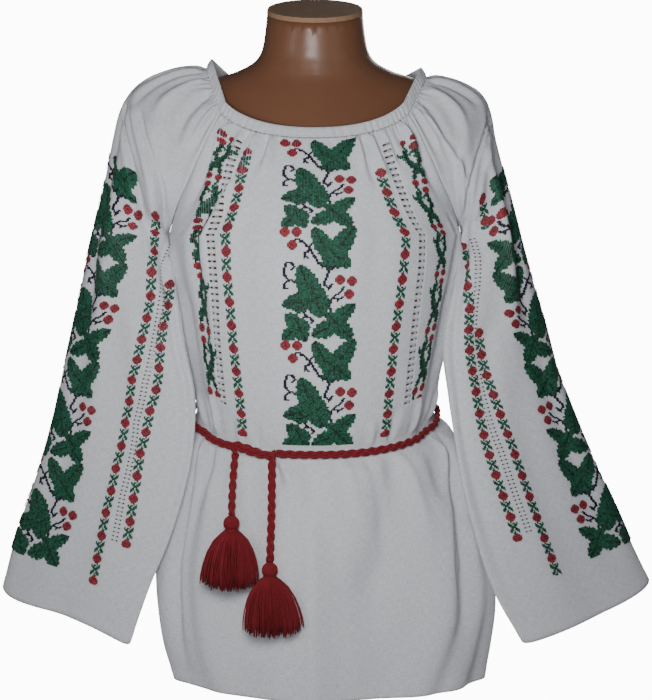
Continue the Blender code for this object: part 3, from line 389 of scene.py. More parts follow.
# Ladder of drawn-thread holes on each side of the front
SLOT_LENGTH = 0.0093
SLOT_HEIGHT = 0.0022
SLOT_PITCH = 0.0070
# Middle lines of the two ladders of holes: share across the front at each row number
LADDER_COLUMNS = ("along", "left", "right")
LADDER_ROWS = (
    (7.6, 0.256, 0.742),
    (8.8, 0.257, 0.743),
    (10.2, 0.265, 0.738),
    (11.8, 0.277, 0.740),
    (13.5, 0.268, 0.740),
    (15.3, 0.234, 0.752),
    (17.3, 0.206, 0.764),
    (19.5, 0.176, 0.786),
)
LADDER_START = 8.65       # rows between which the holes lie
LADDER_END = 19.35
ROW_HEIGHT = 0.040        # of the body's lowest rows
CALM_EDGE = 0.03          # share across, beside a seam, over which the folds rise
SHARE_STEP = 0.004        # share across between two places compared on the cloth
LINE_SAMPLES = 400        # places at which a line on the cloth is measured


def by_name(columns, rows):
    """The columns of a table as arrays, by their names."""
    return dict(zip(columns, np.array(rows, float).T))


BODY = by_name(BODY_COLUMNS, BODY_ROWS)
SEAM = by_name(SEAM_COLUMNS, SEAM_ROWS)
UPPER = by_name(UPPER_COLUMNS, UPPER_ROWS)
LADDER = by_name(LADDER_COLUMNS, LADDER_ROWS)


def smooth(values, at, knots=None):
    """Smooth curve through values, read at the places `at` (row numbers unless knots is given)."""
    values = np.asarray(values, float)
    knots = np.arange(len(values), dtype=float) if knots is None else knots
    at = np.clip(np.asarray(at, float), knots[0], knots[-1])
    steps = np.diff(knots)
    rises = np.diff(values) / steps
    slopes = np.empty(len(values))
    slopes[0] = rises[0]
    slopes[-1] = rises[-1]
    slopes[1:-1] = (rises[:-1] * steps[1:] + rises[1:] * steps[:-1]) / (steps[:-1] + steps[1:])
    cell = np.clip(np.searchsorted(knots, at, side="right") - 1, 0, len(steps) - 1)
    span = steps[cell]
    t = (at - knots[cell]) / span
    start, end = values[cell], values[cell + 1]
    return (start * (1 + 2 * t) * (1 - t) ** 2 + end * t * t * (3 - 2 * t)
            + slopes[cell] * span * t * (1 - t) ** 2 - slopes[cell + 1] * span * t * t * (1 - t))


def lengths_along(line):
    """Length from the start of a line of points to each of them."""
    return np.concatenate([[0], np.cumsum(np.linalg.norm(np.diff(line, axis=0), axis=1))])


def places_on(line, at):
    """Points of a line at given lengths from its start."""
    length = lengths_along(line)
    return np.stack([np.interp(at, length, line[:, axis]) for axis in range(3)], axis=1)


def from_edge(across):
    """Share across between a place and the nearer seam."""
    return np.minimum(across, 1 - across)


def unit(vectors):
    """Vectors scaled to length 1."""
    return vectors / np.maximum(np.linalg.norm(vectors, axis=-1, keepdims=True), 1e-12)


def inward(points):
    """Direction from points of the body or the neckline towards the middle of the garment."""
    target = np.zeros_like(points)
    target[..., 2] = np.minimum(points[..., 2], AIM_HEIGHT)
    return unit(target - points)


def ease(values):
    """0 below 0, 1 above 1 and a soft step between."""
    values = np.clip(values, 0.0, 1.0)
    return values * values * (3 - 2 * values)


def fold_height(piece, along, across):
    """Sum of the soft folds of one piece at places given as row number and share across."""
    total = np.zeros(np.broadcast(along, across).shape)
    for start, end, start_across, end_across, height, width in FOLDS[piece]:
        share = (along - start) / (end - start)
        inside = ease(share * FOLD_RISE) * ease((FOLD_END - share) * FOLD_FALL)
        middle = start_across + (end_across - start_across) * np.clip(share, 0, 1)
        bell = np.exp(-((across - middle) / width) ** 2)
        total = total + height * inside * bell
    return total


def gather_height(piece, from_neck, across):
    """Waves of the gathers of one piece: none in the band's seam, deepest just below it."""
    waves, depth, fade = GATHERS[piece]
    strength = ease(from_neck / GATHER_RISE) * (1 - ease(from_neck / fade))
    middle = (np.abs(across - 0.5) - FRONT_FLAT) / FRONT_FLAT_EDGE
    flat = ease(middle) if piece == "front" else 1.0
    return depth * strength * flat * np.cos(2 * math.pi * waves * across)


def body_top_height(piece, across):
    """Height of the neck edge of the front or back."""
    end = SEAM[piece + "_z"][0]
    middle = UPPER[piece + "_height"][-1]
    return end + (middle - end) * np.sin(math.pi * across)


def body_surface(piece, along, across):
    """Outer face of the front or back: along counts rows from the hem, across runs from the
    left seam to the right one."""
    along, across = np.broadcast_arrays(np.asarray(along, float), np.asarray(across, float))
    lower = np.minimum(along, ARMPIT_ROW)
    rise = np.maximum(along - ARMPIT_ROW, 0)
    above = along > ARMPIT_ROW

    def body(name):
        return smooth(BODY[name], lower)

    def upper(name):
        return smooth(UPPER[name], rise, UPPER["rise"])

    seam_x, seam_y, seam_z = (smooth(SEAM[piece + axis], SEAM_END - rise)
                              for axis in ("_x", "_y", "_z"))
    left = np.where(above, -seam_x, body("left"))
    right = np.where(above, seam_x, body("right"))
    end_y = np.where(above, seam_y, 0.0)
    end_z = np.where(above, seam_z, body("side_height"))
    middle_y = np.where(above, upper(piece), body(piece))
    middle_z = np.where(above, upper(piece + "_height"), body(piece + "_height"))

    trim = np.radians(upper("trim"))
    angle = trim + (math.pi - 2 * trim) * (1 - across)
    power = 2 / ROUNDNESS
    bend = np.sign(np.cos(angle)) * np.abs(np.cos(angle)) ** power / np.cos(trim) ** power
    edge = np.sin(trim) ** power
    swell = (np.abs(np.sin(angle)) ** power - edge) / (1 - edge)
    points = np.stack([(left + right) / 2 + (right - left) / 2 * bend,
                       end_y + (middle_y - end_y) * swell,
                       end_z + (middle_z - end_z) * swell], axis=-1)
    from_neck = np.maximum(body_top_height(piece, across) - points[..., 2], 0)
    move = fold_height(piece, along, across) + gather_height(piece, from_neck, across)
    move = move * ease(from_edge(across) / CALM_EDGE)
    return points - inward(points) * move[..., None]


def ladder_share(side_name, along):
    """Share across the front of a ladder's middle line at a row number."""
    return smooth(LADDER[side_name], along, LADDER["along"])


def ladder_edges(side_name, along):
    """Shares across the front of the ends of a ladder's holes at row numbers."""
    middle = ladder_share(side_name, along)
    ahead = body_surface("front", along, middle + SHARE_STEP)
    behind = body_surface("front", along, middle - SHARE_STEP)
    width = np.linalg.norm(ahead - behind, axis=-1) / (2 * SHARE_STEP)
    reach = SLOT_LENGTH / 2 / width
    return middle - reach, middle + reach


def ladder_holes(side_name):
    """Row numbers of the lower and upper edge of each hole of a ladder."""
    along = np.linspace(LADDER_START, LADDER_END, LINE_SAMPLES)
    length = lengths_along(body_surface("front", along, ladder_share(side_name, along)))
    middles = (np.arange(int(length[-1] / SLOT_PITCH)) + 0.5) * SLOT_PITCH
    low = np.interp(middles - SLOT_HEIGHT / 2, length, along)
    high = np.interp(middles + SLOT_HEIGHT / 2, length, along)
    return list(zip(low, high))


# Creases, listed one by one: where each starts and ends (row number and share across), how
# far it stands out (+) or in (-) in mm, its half width in mm, and its bow sideways in mm
BODY_CREASES = {
    "front": (
        # gathers under the band, left of the stitched middle and right of it
        (19.9, 0.105, 17.2, 0.085, 2.4, 4.5, 0.0), (19.9, 0.215, 16.8, 0.205, -2.0, 4.0, 0.0),
        (19.9, 0.262, 15.6, 0.268, 2.6, 5.0, 1.0), (19.8, 0.310, 17.4, 0.322, -1.8, 3.6, 0.0),
        (19.9, 0.345, 16.2, 0.350, 2.2, 5.0, 0.0), (19.7, 0.425, 18.8, 0.425, -0.8, 3.0, 0.0),
        (19.7, 0.560, 18.9, 0.560, -0.8, 3.0, 0.0), (19.9, 0.655, 16.9, 0.650, 2.2, 4.6, 0.0),
        (19.9, 0.690, 15.2, 0.672, -2.4, 4.4, -1.0), (19.9, 0.722, 15.8, 0.716, 2.6, 4.6, 0.0),
        (19.9, 0.815, 16.6, 0.800, -1.8, 4.0, 0.0), (19.9, 0.900, 17.0, 0.905, 2.4, 4.6, 0.0),
        # drape of the chest
        (19.6, 0.040, 13.4, 0.120, -3.0, 8.0, 3.0), (19.6, 0.960, 14.4, 0.920, -3.0, 8.0, -3.0),
        (15.6, 0.205, 9.4, 0.222, -3.0, 5.5, 2.0), (16.4, 0.245, 9.8, 0.246, 1.8, 4.5, 1.0),
        (14.6, 0.350, 8.2, 0.372, -1.2, 10.0, 0.0), (14.2, 0.625, 8.4, 0.610, -1.2, 10.0, 0.0),
        (14.2, 0.925, 8.8, 0.862, -3.6, 4.8, -4.0), (12.8, 0.925, 8.4, 0.905, 2.6, 8.0, 0.0),
        (12.8, 0.085, 8.6, 0.110, 2.4, 8.0, 0.0),
        # puckers above the belt
        (7.25, 0.130, 8.8, 0.105, 2.2, 3.4, 0.0), (7.25, 0.175, 8.9, 0.160, -1.8, 3.0, 0.0),
        (7.25, 0.215, 9.3, 0.205, 2.2, 3.4, 0.0), (7.25, 0.300, 8.6, 0.310, 1.4, 3.0, 0.0),
        (7.25, 0.360, 8.4, 0.365, -1.2, 3.4, 0.0), (7.25, 0.640, 8.5, 0.632, 1.4, 3.2, 0.0),
        (7.25, 0.700, 8.9, 0.704, -1.6, 3.4, 0.0), (7.25, 0.790, 9.1, 0.800, 2.0, 3.4, 0.0),
        (7.25, 0.850, 8.9, 0.862, -2.0, 3.4, 0.0), (7.25, 0.905, 8.8, 0.930, 2.2, 3.8, 0.0),
        # puckers and soft pleats below the belt
        (6.8, 0.140, 0.0, 0.186, -4.2, 3.4, 0.0), (6.2, 0.050, 1.2, 0.110, 2.2, 9.0, 0.0),
        (6.0, 0.235, -2.4, 0.265, 3.4, 13.0, 0.0), (6.4, 0.464, -3.4, 0.462, 3.6, 22.0, 0.0),
        (5.2, 0.488, -3.2, 0.474, 2.8, 5.4, 0.0), (6.6, 0.690, 0.8, 0.530, -3.6, 14.0, 0.0),
        (3.8, 0.600, -3.2, 0.570, -2.4, 20.0, 0.0), (5.4, 0.800, -2.6, 0.700, 5.0, 20.0, 0.0),
        (3.2, 0.800, -2.6, 0.650, -3.6, 9.5, 0.0), (6.7, 0.885, 1.2, 0.770, -4.6, 3.2, -2.0),
        (6.4, 0.940, 0.6, 0.865, 3.2, 9.0, 0.0), (4.2, 0.850, -2.0, 0.760, 2.8, 8.0, 0.0),
        (6.75, 0.395, 5.4, 0.428, -2.2, 3.4, 0.0), (6.75, 0.425, 5.2, 0.450, 1.6, 3.4, 0.0),
        (6.75, 0.150, 3.6, 0.150, 1.8, 5.0, 0.0), (6.75, 0.205, 4.6, 0.215, -1.6, 4.0, 0.0),
        (6.75, 0.300, 4.2, 0.290, 1.2, 4.0, 0.0), (6.75, 0.480, 3.2, 0.492, -1.6, 5.0, 0.0),
        (6.75, 0.555, 4.4, 0.560, 1.2, 4.0, 0.0), (6.75, 0.610, 2.6, 0.618, -1.5, 6.0, 0.0),
        (6.75, 0.705, 3.4, 0.712, 1.6, 5.0, 0.0), (6.7, 0.915, 1.6, 0.745, -4.2, 4.6, -9.0),
        (6.2, 0.950, 1.0, 0.830, 2.8, 9.0, -6.0), (6.75, 0.870, 3.0, 0.865, 2.0, 6.0, 0.0),
    ),
    "back": (
        # the plain back: gathers, a few long drapes, puckers at the belt
        (19.9, 0.120, 17.4, 0.110, 2.2, 4.5, 0.0), (19.9, 0.200, 16.4, 0.205, -2.0, 4.5, 0.0),
        (19.9, 0.290, 15.8, 0.300, 2.4, 5.5, 1.0), (19.9, 0.375, 17.0, 0.380, -1.8, 4.0, 0.0),
        (19.9, 0.455, 16.2, 0.450, 2.2, 5.0, 0.0), (19.9, 0.540, 16.8, 0.548, -2.0, 4.4, 0.0),
        (19.9, 0.625, 15.4, 0.620, 2.4, 5.2, -1.0), (19.9, 0.715, 16.8, 0.705, -2.0, 4.4, 0.0),
        (19.9, 0.810, 16.4, 0.800, 2.4, 4.8, 0.0), (19.9, 0.890, 17.4, 0.900, -1.8, 4.0, 0.0),
        (17.0, 0.090, 9.4, 0.150, -2.6, 8.0, 3.0), (16.0, 0.350, 8.8, 0.330, 1.8, 9.0, 0.0),
        (16.4, 0.660, 9.0, 0.690, -1.8, 9.0, 0.0), (16.6, 0.905, 9.2, 0.860, 2.4, 8.0, -3.0),
        (7.25, 0.110, 8.8, 0.095, 2.2, 3.6, 0.0), (7.25, 0.190, 9.3, 0.185, -2.0, 3.4, 0.0),
        (7.25, 0.280, 8.8, 0.285, 2.0, 3.6, 0.0), (7.25, 0.370, 9.4, 0.362, -1.6, 4.0, 0.0),
        (7.25, 0.460, 8.8, 0.465, 1.8, 3.6, 0.0), (7.25, 0.560, 9.2, 0.566, -1.8, 3.8, 0.0),
        (7.25, 0.660, 8.9, 0.655, 2.0, 3.6, 0.0), (7.25, 0.760, 9.2, 0.770, -2.0, 3.6, 0.0),
        (7.25, 0.860, 8.8, 0.875, 2.2, 3.6, 0.0), (6.75, 0.085, 2.2, 0.070, -3.0, 6.0, 0.0),
        (6.75, 0.175, 3.4, 0.180, 2.2, 5.0, 0.0), (6.75, 0.255, 1.8, 0.240, -2.4, 7.0, 0.0),
        (6.75, 0.345, 3.6, 0.350, 1.8, 5.0, 0.0), (6.75, 0.430, 2.0, 0.424, -2.2, 6.0, 0.0),
        (6.75, 0.520, 3.4, 0.530, 1.6, 5.0, 0.0), (6.75, 0.600, 1.6, 0.612, -2.4, 7.0, 0.0),
        (6.75, 0.690, 3.6, 0.684, 1.8, 5.0, 0.0), (6.75, 0.780, 2.2, 0.795, -2.4, 6.0, 0.0),
        (6.75, 0.905, 2.0, 0.920, -3.0, 6.0, 0.0),
    ),
}
BODY_CREASE_ENDS = (9, 1.0)   # how fast a crease starts, the share of its length where it ends
CREASE_FALL = 2.4             # how fast it fades there
CREASE_LIFT = 1.6             # how deep the creases of the tables are pressed
CREASE_WIDTH = (0.8, 0.6)     # of its half width: at its start, and what it gains to its end
CREASE_SIDES = (2.1, 1.2, 0.28)    # of it too, the dips on both sides: distance, width, depth
CREASE_EDGE = 0.035           # share across, beside a seam, over which the creases rise
CLOTH_WIDTH = 0.34            # of a panel or a sleeve, for the widths of its creases
MM = 0.001

SEAM_GAP = 0.0003             # between neighbouring pieces
HEM_DEPTH = 0.012             # turned-up hem
HEM_STEP = 0.0004             # a hem stands this much proud of the single cloth
HEM_STEP_ROWS = 0.06
RUFFLE_COUNT = {"front": 46, "back": 40, "sleeve": 40}    # tiny gathers drawn into the band
RUFFLE_DEPTH = 0.0016
RUFFLE_FADE = 0.026
RUFFLE_RISE = 0.004
RUFFLE_LEAST = 0.35           # share of the depth left in the band's seam, and in the middle
RUFFLE_MIDDLE = 0.10          # half of the front's share where only that much is left
RUFFLE_MIDDLE_EDGE = 0.06
# What makes them uneven: size, waves over the piece and where these start
RUFFLE_DRIFT = ((0.004, 37.0, 0.0), (0.003, 91.0, 1.3))
SEAM_DIP = 0.0005             # how far the cloth dips at a seam, and how near to it
SEAM_DIP_WIDTH = 0.0022


def crease_height(creases, along, across, rising, ending):
    """Sum of listed creases; rising is how fast one starts and ending where it is gone."""
    total = np.zeros(np.broadcast(along, across).shape)
    thin, gain = CREASE_WIDTH
    side_distance, side_width, side_depth = CREASE_SIDES
    for start, start_across, end, end_across, height, half_width, bow in creases:
        share = (along - start) / (end - start)
        inside = ease(share * rising) * ease((ending - share) * CREASE_FALL)
        place = np.clip(share, 0, 1)
        middle = start_across + (end_across - start_across) * place
        aside = (across - middle) * CLOTH_WIDTH - bow * MM * np.sin(math.pi * place)
        spread = half_width * MM * (thin + gain * place)
        ridge = np.exp(-(aside / spread) ** 2)
        beside = np.exp(-((np.abs(aside) - side_distance * spread) / (side_width * spread)) ** 2)
        total = total + CREASE_LIFT * height * MM * inside * (ridge - side_depth * beside)
    return total


def seam_dip(across):
    """How far the cloth dips towards its seams."""
    return SEAM_DIP * np.exp(-(from_edge(across) * CLOTH_WIDTH / SEAM_DIP_WIDTH) ** 2)


def ruffle_height(kind, from_neck, across):
    """Tiny uneven gathers where the cloth is drawn into the neck band."""
    uneven = across
    for size, waves, start in RUFFLE_DRIFT:
        uneven = uneven + size * np.sin(across * waves + start)
    wave = (np.cos(2 * math.pi * RUFFLE_COUNT[kind] * uneven)
            * (0.75 + 0.25 * np.sin(across * 53.0)))
    rest = 1 - RUFFLE_LEAST
    depth = RUFFLE_DEPTH * (RUFFLE_LEAST + rest * ease(from_neck / RUFFLE_RISE))
    if kind == "front":
        middle = (np.abs(across - 0.5) - RUFFLE_MIDDLE) / RUFFLE_MIDDLE_EDGE
        depth = depth * (RUFFLE_LEAST + rest * ease(middle))
    fade = RUFFLE_FADE * (0.7 + 0.5 * np.sin(across * 29))
    return depth * wave * (1 - ease(from_neck / fade))


def panel_point(piece, along, across):
    """Finished outer face of the front or back: its form, creases, ruffles, hem and seams."""
    base = body_surface(piece, along, across)
    along, across = np.broadcast_arrays(np.asarray(along, float), np.asarray(across, float))
    from_neck = np.maximum(body_top_height(piece, across) - base[..., 2], 0)
    from_neck = np.where(along > ARMPIT_ROW, from_neck, 1.0)
    move = (crease_height(BODY_CREASES[piece], along, across, *BODY_CREASE_ENDS)
            + ruffle_height(piece, from_neck, across))
    move = move * ease(from_edge(across) / CREASE_EDGE)
    at_hem = ease((HEM_DEPTH / ROW_HEIGHT - along) / HEM_STEP_ROWS)
    move = move + HEM_STEP * at_hem - seam_dip(across)
    return base - inward(base) * move[..., None]


def grid_cells(grid):
    """What a grid holds at the four corners of each of its cells."""
    return np.stack([grid[:-1, :-1], grid[:-1, 1:], grid[1:, 1:], grid[1:, :-1]], axis=2)


def shell_mesh(name, outer, inner, skipped=None, joined=None):
    """A thin closed wall between two grids of points, with rims, and a flat-pattern UV map.

    joined gives the row from which the first and last columns are one line, and skipped marks
    cells left out of the wall.
    """
    rows, columns = outer.shape[:2]
    total = rows * columns
    index = np.arange(total).reshape(rows, columns)
    if joined is not None:
        index[joined:, -1] = index[joined:, 0]
    cells = grid_cells(index).reshape(-1, 4) if skipped is None else grid_cells(index)[~skipped]
    edges = {}
    for face in cells:
        for one, other in zip(face, np.roll(face, -1)):
            key = (min(one, other), max(one, other))
            edges[key] = None if key in edges else (one, other)
    rims = [(pair[1], pair[0], pair[0] + total, pair[1] + total)
            for pair in edges.values() if pair is not None]
    faces = np.concatenate([cells, cells[:, ::-1] + total, np.array(rims)])
    kept = np.unique(faces)
    place_of = np.zeros(2 * total, int)
    place_of[kept] = np.arange(len(kept))
    points = np.concatenate([outer.reshape(-1, 3), inner.reshape(-1, 3)])[kept]
    mesh = bpy.data.meshes.new(name)
    mesh.from_pydata(points, [], place_of[faces].tolist())

    across_step = np.linalg.norm(np.diff(outer, axis=1), axis=-1)
    along_step = np.linalg.norm(np.diff(outer, axis=0), axis=-1).mean(axis=1)
    u = np.concatenate([np.zeros((rows, 1)), np.cumsum(across_step, axis=1)], axis=1)
    u = u - u[:, columns // 2:columns // 2 + 1]
    v = np.concatenate([[0], np.cumsum(along_step)])[:, None] * np.ones((1, columns))
    flat = np.stack([u, v], -1).reshape(-1, 2)
    flat = np.concatenate([flat, flat])[kept]
    layer = mesh.uv_layers.new(name="cloth")
    corners = np.zeros(len(mesh.loops), int)
    mesh.loops.foreach_get("vertex_index", corners)
    layer.data.foreach_set("uv", flat[corners].astype(np.float32).ravel())
    return mesh


def cloth_piece(name, mesh):
    """A closed mesh of the shirt's cloth as an object, its faces turned outwards."""
    turned_outwards(mesh)
    mesh.shade_smooth()
    mesh.materials.append(shirt_cloth)
    return link_object(name, mesh)


def turned_outwards(mesh):
    """Turn all faces of a closed wall outwards."""
    shape = bmesh.new()
    shape.from_mesh(mesh)
    bmesh.ops.recalc_face_normals(shape, faces=shape.faces)
    shape.to_mesh(mesh)
    shape.free()


THREADS_PER_METRE = 1900.0
SLUB_SCALES = ((150.0, 1000.0, 1.0), (1000.0, 150.0, 1.0))    # thick places of weft and warp
RUMPLE_SCALE = 22.0           # soft irregular rumples, per metre of cloth
WEAVE_HEIGHT = 0.35           # heights of the weave, its slubs and the rumples, in one unit
SLUB_HEIGHT = 1.1
RUMPLE_HEIGHT = 14.0
WHITE_LOW = (0.565, 0.578, 0.620)
WHITE_HIGH = (0.755, 0.768, 0.805)


def woven_cloth():
    """Shader group of plain weave: warp and weft on the flat pattern, slubs and soft rumples.

    It puts out the height of the threads and a mask of thicker and thinner places.
    """
    group = bpy.data.node_groups.new("plain_weave", "ShaderNodeTree")
    for label in ("Height", "Slubs"):
        group.interface.new_socket(label, in_out="OUTPUT", socket_type="NodeSocketFloat")
    given = group.nodes.new("NodeGroupOutput")
    pattern = flat_pattern(group, "cloth")
    place = add_node(group, "SeparateXYZ", {"Vector": pattern}).outputs
    turns = maths(group, "MULTIPLY", THREADS_PER_METRE, math.pi)
    warp, weft = (maths(group, "SINE", maths(group, "MULTIPLY", place[axis], turns))
                  for axis in ("X", "Y"))
    thick = [noise(group, 1.0, 3.0, stretched(group, pattern, scale)) for scale in SLUB_SCALES]
    slubs = maths(group, "MULTIPLY", maths(group, "ADD", *thick), 0.5)
    rumple = noise(group, RUMPLE_SCALE, 2.0, pattern, 0.6)
    height = maths(group, "MULTIPLY", maths(group, "MULTIPLY", warp, weft), WEAVE_HEIGHT)
    for part, high in ((slubs, SLUB_HEIGHT), (rumple, RUMPLE_HEIGHT)):
        height = maths(group, "ADD", height, maths(group, "MULTIPLY", part, high))
    feed(group, given, {"Height": height, "Slubs": slubs})
    return group


def white_cloth(name, group):
    """Bleached cotton and linen: matt, faintly cool, threads and slubs just readable."""
    material, tree, shader = new_material(name, {
        "Roughness": 0.86, "Sheen Weight": 0.12, "Sheen Roughness": 0.5,
        "Specular IOR Level": 0.22})
    weave = add_node(tree, "Group")
    weave.node_tree = group
    tone = ranged(tree, weave.outputs["Slubs"], 0.36, 0.62)
    feed(tree, shader, {"Base Color": blend(tree, tone, WHITE_LOW, WHITE_HIGH),
                        "Normal": bump(tree, weave.outputs["Height"], 0.35, 0.00035)})
    return material


shirt_cloth = white_cloth("shirt_cloth", woven_cloth())

# Cloth cells across the front: from a side seam to a ladder, over a ladder, between the two
SIDE_CELLS = 46
SLOT_CELLS = 4
MIDDLE_CELLS = 100
ROWS_ABOVE_LADDERS = 6
BACK_COLUMNS = 110
ROW_STEP = 0.0034             # height of a cloth cell
BACK_ROW_STEP = 0.0042
ALLOWANCE = 0.0008            # the raglan seam's turned edge lies under the sleeve's edge
ALLOWANCE_DEPTH = 0.0020


def row_numbers(surface, low, high, step):
    """Row numbers from low to high whose places lie about one step apart on a surface."""
    fine = np.linspace(low, high, 600)
    length = lengths_along(surface(fine))
    count = int(round(length[-1] / step))
    return np.interp(np.linspace(0, length[-1], count + 1), length, fine)


def front_rows():
    """Row numbers of the front's lines on both ladders, and the number of holes in each."""
    holes = {name: ladder_holes(name) for name in ("left", "right")}
    count = min(len(holes["left"]), len(holes["right"]))
    lines = {name: np.ravel([(low, (low + high) / 2, high) for low, high in holes[name][:count]])
             for name in holes}
    return lines, count


def front_grid():
    """Row number and share across of every point of the front, its rows following the holes."""
    lines, count = front_rows()
    start = min(lines["left"][0], lines["right"][0])
    below = row_numbers(lambda at: body_surface("front", at, 0.5), 0.0, start, ROW_STEP)[:-1]
    end = max(lines["left"][-1], lines["right"][-1])
    top = ARMPIT_ROW + SEAM_END
    above = np.linspace(end, top, ROWS_ABOVE_LADDERS + 1)[1:]
    rows, edges = {}, {}
    for name, line in lines.items():
        rows[name] = np.concatenate([
            below / start * line[0], line,
            line[-1] + (above - end) / (top - end) * (top - line[-1])])
        edges[name] = [edge[:, None] for edge in ladder_edges(name, rows[name])]
    zero = np.zeros((len(rows["left"]), 1))
    stops = [zero, *edges["left"], *edges["right"], zero + 1]
    cells = (SIDE_CELLS, SLOT_CELLS, MIDDLE_CELLS, SLOT_CELLS, SIDE_CELLS)
    parts = []
    for many, near, far in zip(cells, stops, stops[1:]):
        share = np.arange(many)[None, :] / many
        parts.append(near * (1 - share) + far * share)
    across = np.concatenate(parts + [stops[-1]], axis=1)
    middle_left, middle_right = (sum(edges[name]) / 2 for name in ("left", "right"))
    turn = np.clip((across - middle_left) / (middle_right - middle_left), 0, 1)
    along = rows["left"][:, None] * (1 - turn) + rows["right"][:, None] * turn
    skipped = np.zeros((len(zero) - 1, across.shape[1] - 1), bool)
    for hole in range(count):
        row = len(below) + 3 * hole
        for column in (SIDE_CELLS, SIDE_CELLS + SLOT_CELLS + MIDDLE_CELLS):
            skipped[row:row + 2, column:column + SLOT_CELLS] = True
    return along, across, skipped


def body_shell(piece, along, across, skipped=None):
    """Thin shell of the front or back.

    Its side edges keep half a seam gap from the other panel's; above the armpit they are turned
    in under the edges of the sleeves.
    """
    outer = panel_point(piece, along, across)
    facing = -1.0 if piece == "front" else 1.0
    for column, sign in ((0, 1.0), (-1, -1.0)):
        low = along[:, column] <= ARMPIT_ROW
        outer[low, column, 1] += facing * SEAM_GAP / 2
        outer[~low, column] -= (sign * ALLOWANCE, facing * ALLOWANCE_DEPTH, SEAM_GAP)
    inner = outer + inward(outer) * CLOTH
    for column in (0, -1):
        low = along[:, column] <= ARMPIT_ROW
        depth = np.maximum(facing * inner[low, column, 1], SEAM_GAP / 2)
        inner[low, column, 1] = facing * depth
    panel = cloth_piece("shirt_" + piece, shell_mesh("shirt_" + piece, outer, inner, skipped))
    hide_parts(piece)
    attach(panel, "root")
    return panel


shirt_front = body_shell("front", *front_grid())
back_rows = row_numbers(lambda at: body_surface("back", at, 0.5), 0.0, ARMPIT_ROW + SEAM_END,
                        BACK_ROW_STEP)
shirt_back = body_shell("back", *np.meshgrid(back_rows, np.linspace(0, 1, BACK_COLUMNS + 1),
                                             indexing="ij"))


# ------------------------------------------------------------------ sleeves
# Wide raglan sleeves of the same cloth, gathered into the neck band, joined to the body along
# slanting seams down to the armpit and open at the cuff. They hang empty, front on back.

# Sleeves from the neck down to the cuff. The outer line of each side, then the inner line from
# the armpit down; above it a section ends on the raglan seams. front and back are how far the
# cloth stands out at the outer line, swell how far it does at the seams, lean how much of it
# follows the straight line between them.
SLEEVE_COLUMNS = ("outer_left", "outer_left_z", "outer_right", "outer_right_z", "outer_y",
                  "inner_left", "inner_left_z", "inner_right", "inner_right_z", "inner_y",
                  "front", "back", "swell", "lean")
SLEEVE_ROWS = (
    (-0.1180, 0.812, 0.1210, 0.803, 0.004, 0, 0, 0, 0, 0, 0.026, 0.026, 0.002, 0.33),
    (-0.1470, 0.813, 0.1470, 0.801, 0.005, 0, 0, 0, 0, 0, 0.036, 0.036, 0.006, 0.35),
    (-0.1780, 0.804, 0.1725, 0.791, 0.005, 0, 0, 0, 0, 0, 0.040, 0.042, 0.010, 0.35),
    (-0.1990, 0.790, 0.1860, 0.779, 0.004, 0, 0, 0, 0, 0, 0.042, 0.046, 0.013, 0.35),
    (-0.2130, 0.768, 0.1935, 0.760, 0.003, 0, 0, 0, 0, 0, 0.044, 0.048, 0.015, 0.34),
    (-0.2210, 0.737, 0.1980, 0.735, 0.002, 0, 0, 0, 0, 0, 0.054, 0.056, 0.022, 0.30),
    (-0.2285, 0.698, 0.2075, 0.698, 0.000, 0, 0, 0, 0, 0, 0.062, 0.064, 0.030, 0.26),
    (-0.2375, 0.660, 0.2180, 0.660, -0.002, -0.1625, 0.632, 0.1625, 0.632, -0.003,
     0.068, 0.068, 0.040, 0.26),
    (-0.2470, 0.622, 0.2275, 0.622, -0.004, -0.1575, 0.602, 0.1570, 0.602, -0.036,
     0.060, 0.064, 0.042, 0.28),
    (-0.2565, 0.578, 0.2405, 0.578, -0.006, -0.1460, 0.560, 0.1425, 0.557, -0.056,
     0.048, 0.054, 0.034, 0.22),
    (-0.2660, 0.535, 0.2535, 0.535, -0.007, -0.1390, 0.515, 0.1370, 0.513, -0.060,
     0.040, 0.044, 0.026, 0.14),
    (-0.2775, 0.485, 0.2670, 0.487, -0.007, -0.1290, 0.463, 0.1430, 0.463, -0.061,
     0.034, 0.034, 0.022, 0.06),
    (-0.2885, 0.436, 0.2870, 0.436, -0.006, -0.1305, 0.412, 0.1510, 0.411, -0.063,
     0.030, 0.028, 0.020, 0.0),
    (-0.3030, 0.385, 0.3090, 0.385, -0.003, -0.1410, 0.357, 0.1605, 0.359, -0.066,
     0.028, 0.025, 0.020, 0.0),
    (-0.3210, 0.335, 0.3330, 0.335, 0.000, -0.1580, 0.303, 0.1750, 0.302, -0.067,
     0.027, 0.023, 0.020, 0.0),
    (-0.3370, 0.287, 0.3530, 0.290, 0.003, -0.1800, 0.250, 0.1950, 0.245, -0.064,
     0.026, 0.022, 0.019, 0.0),
    (-0.3500, 0.236, 0.3740, 0.2455, 0.005, -0.2010, 0.1915, 0.2250, 0.193, -0.060,
     0.024, 0.021, 0.018, 0.0),
)
SLEEVE_END = len(SLEEVE_ROWS) - 1
SLEEVE_EVENING = 0.45         # evens out the places across a sleeve's bulging section
SLEEVE = by_name(SLEEVE_COLUMNS, SLEEVE_ROWS)
SIDE_WORD = {-1: "left", 1: "right"}


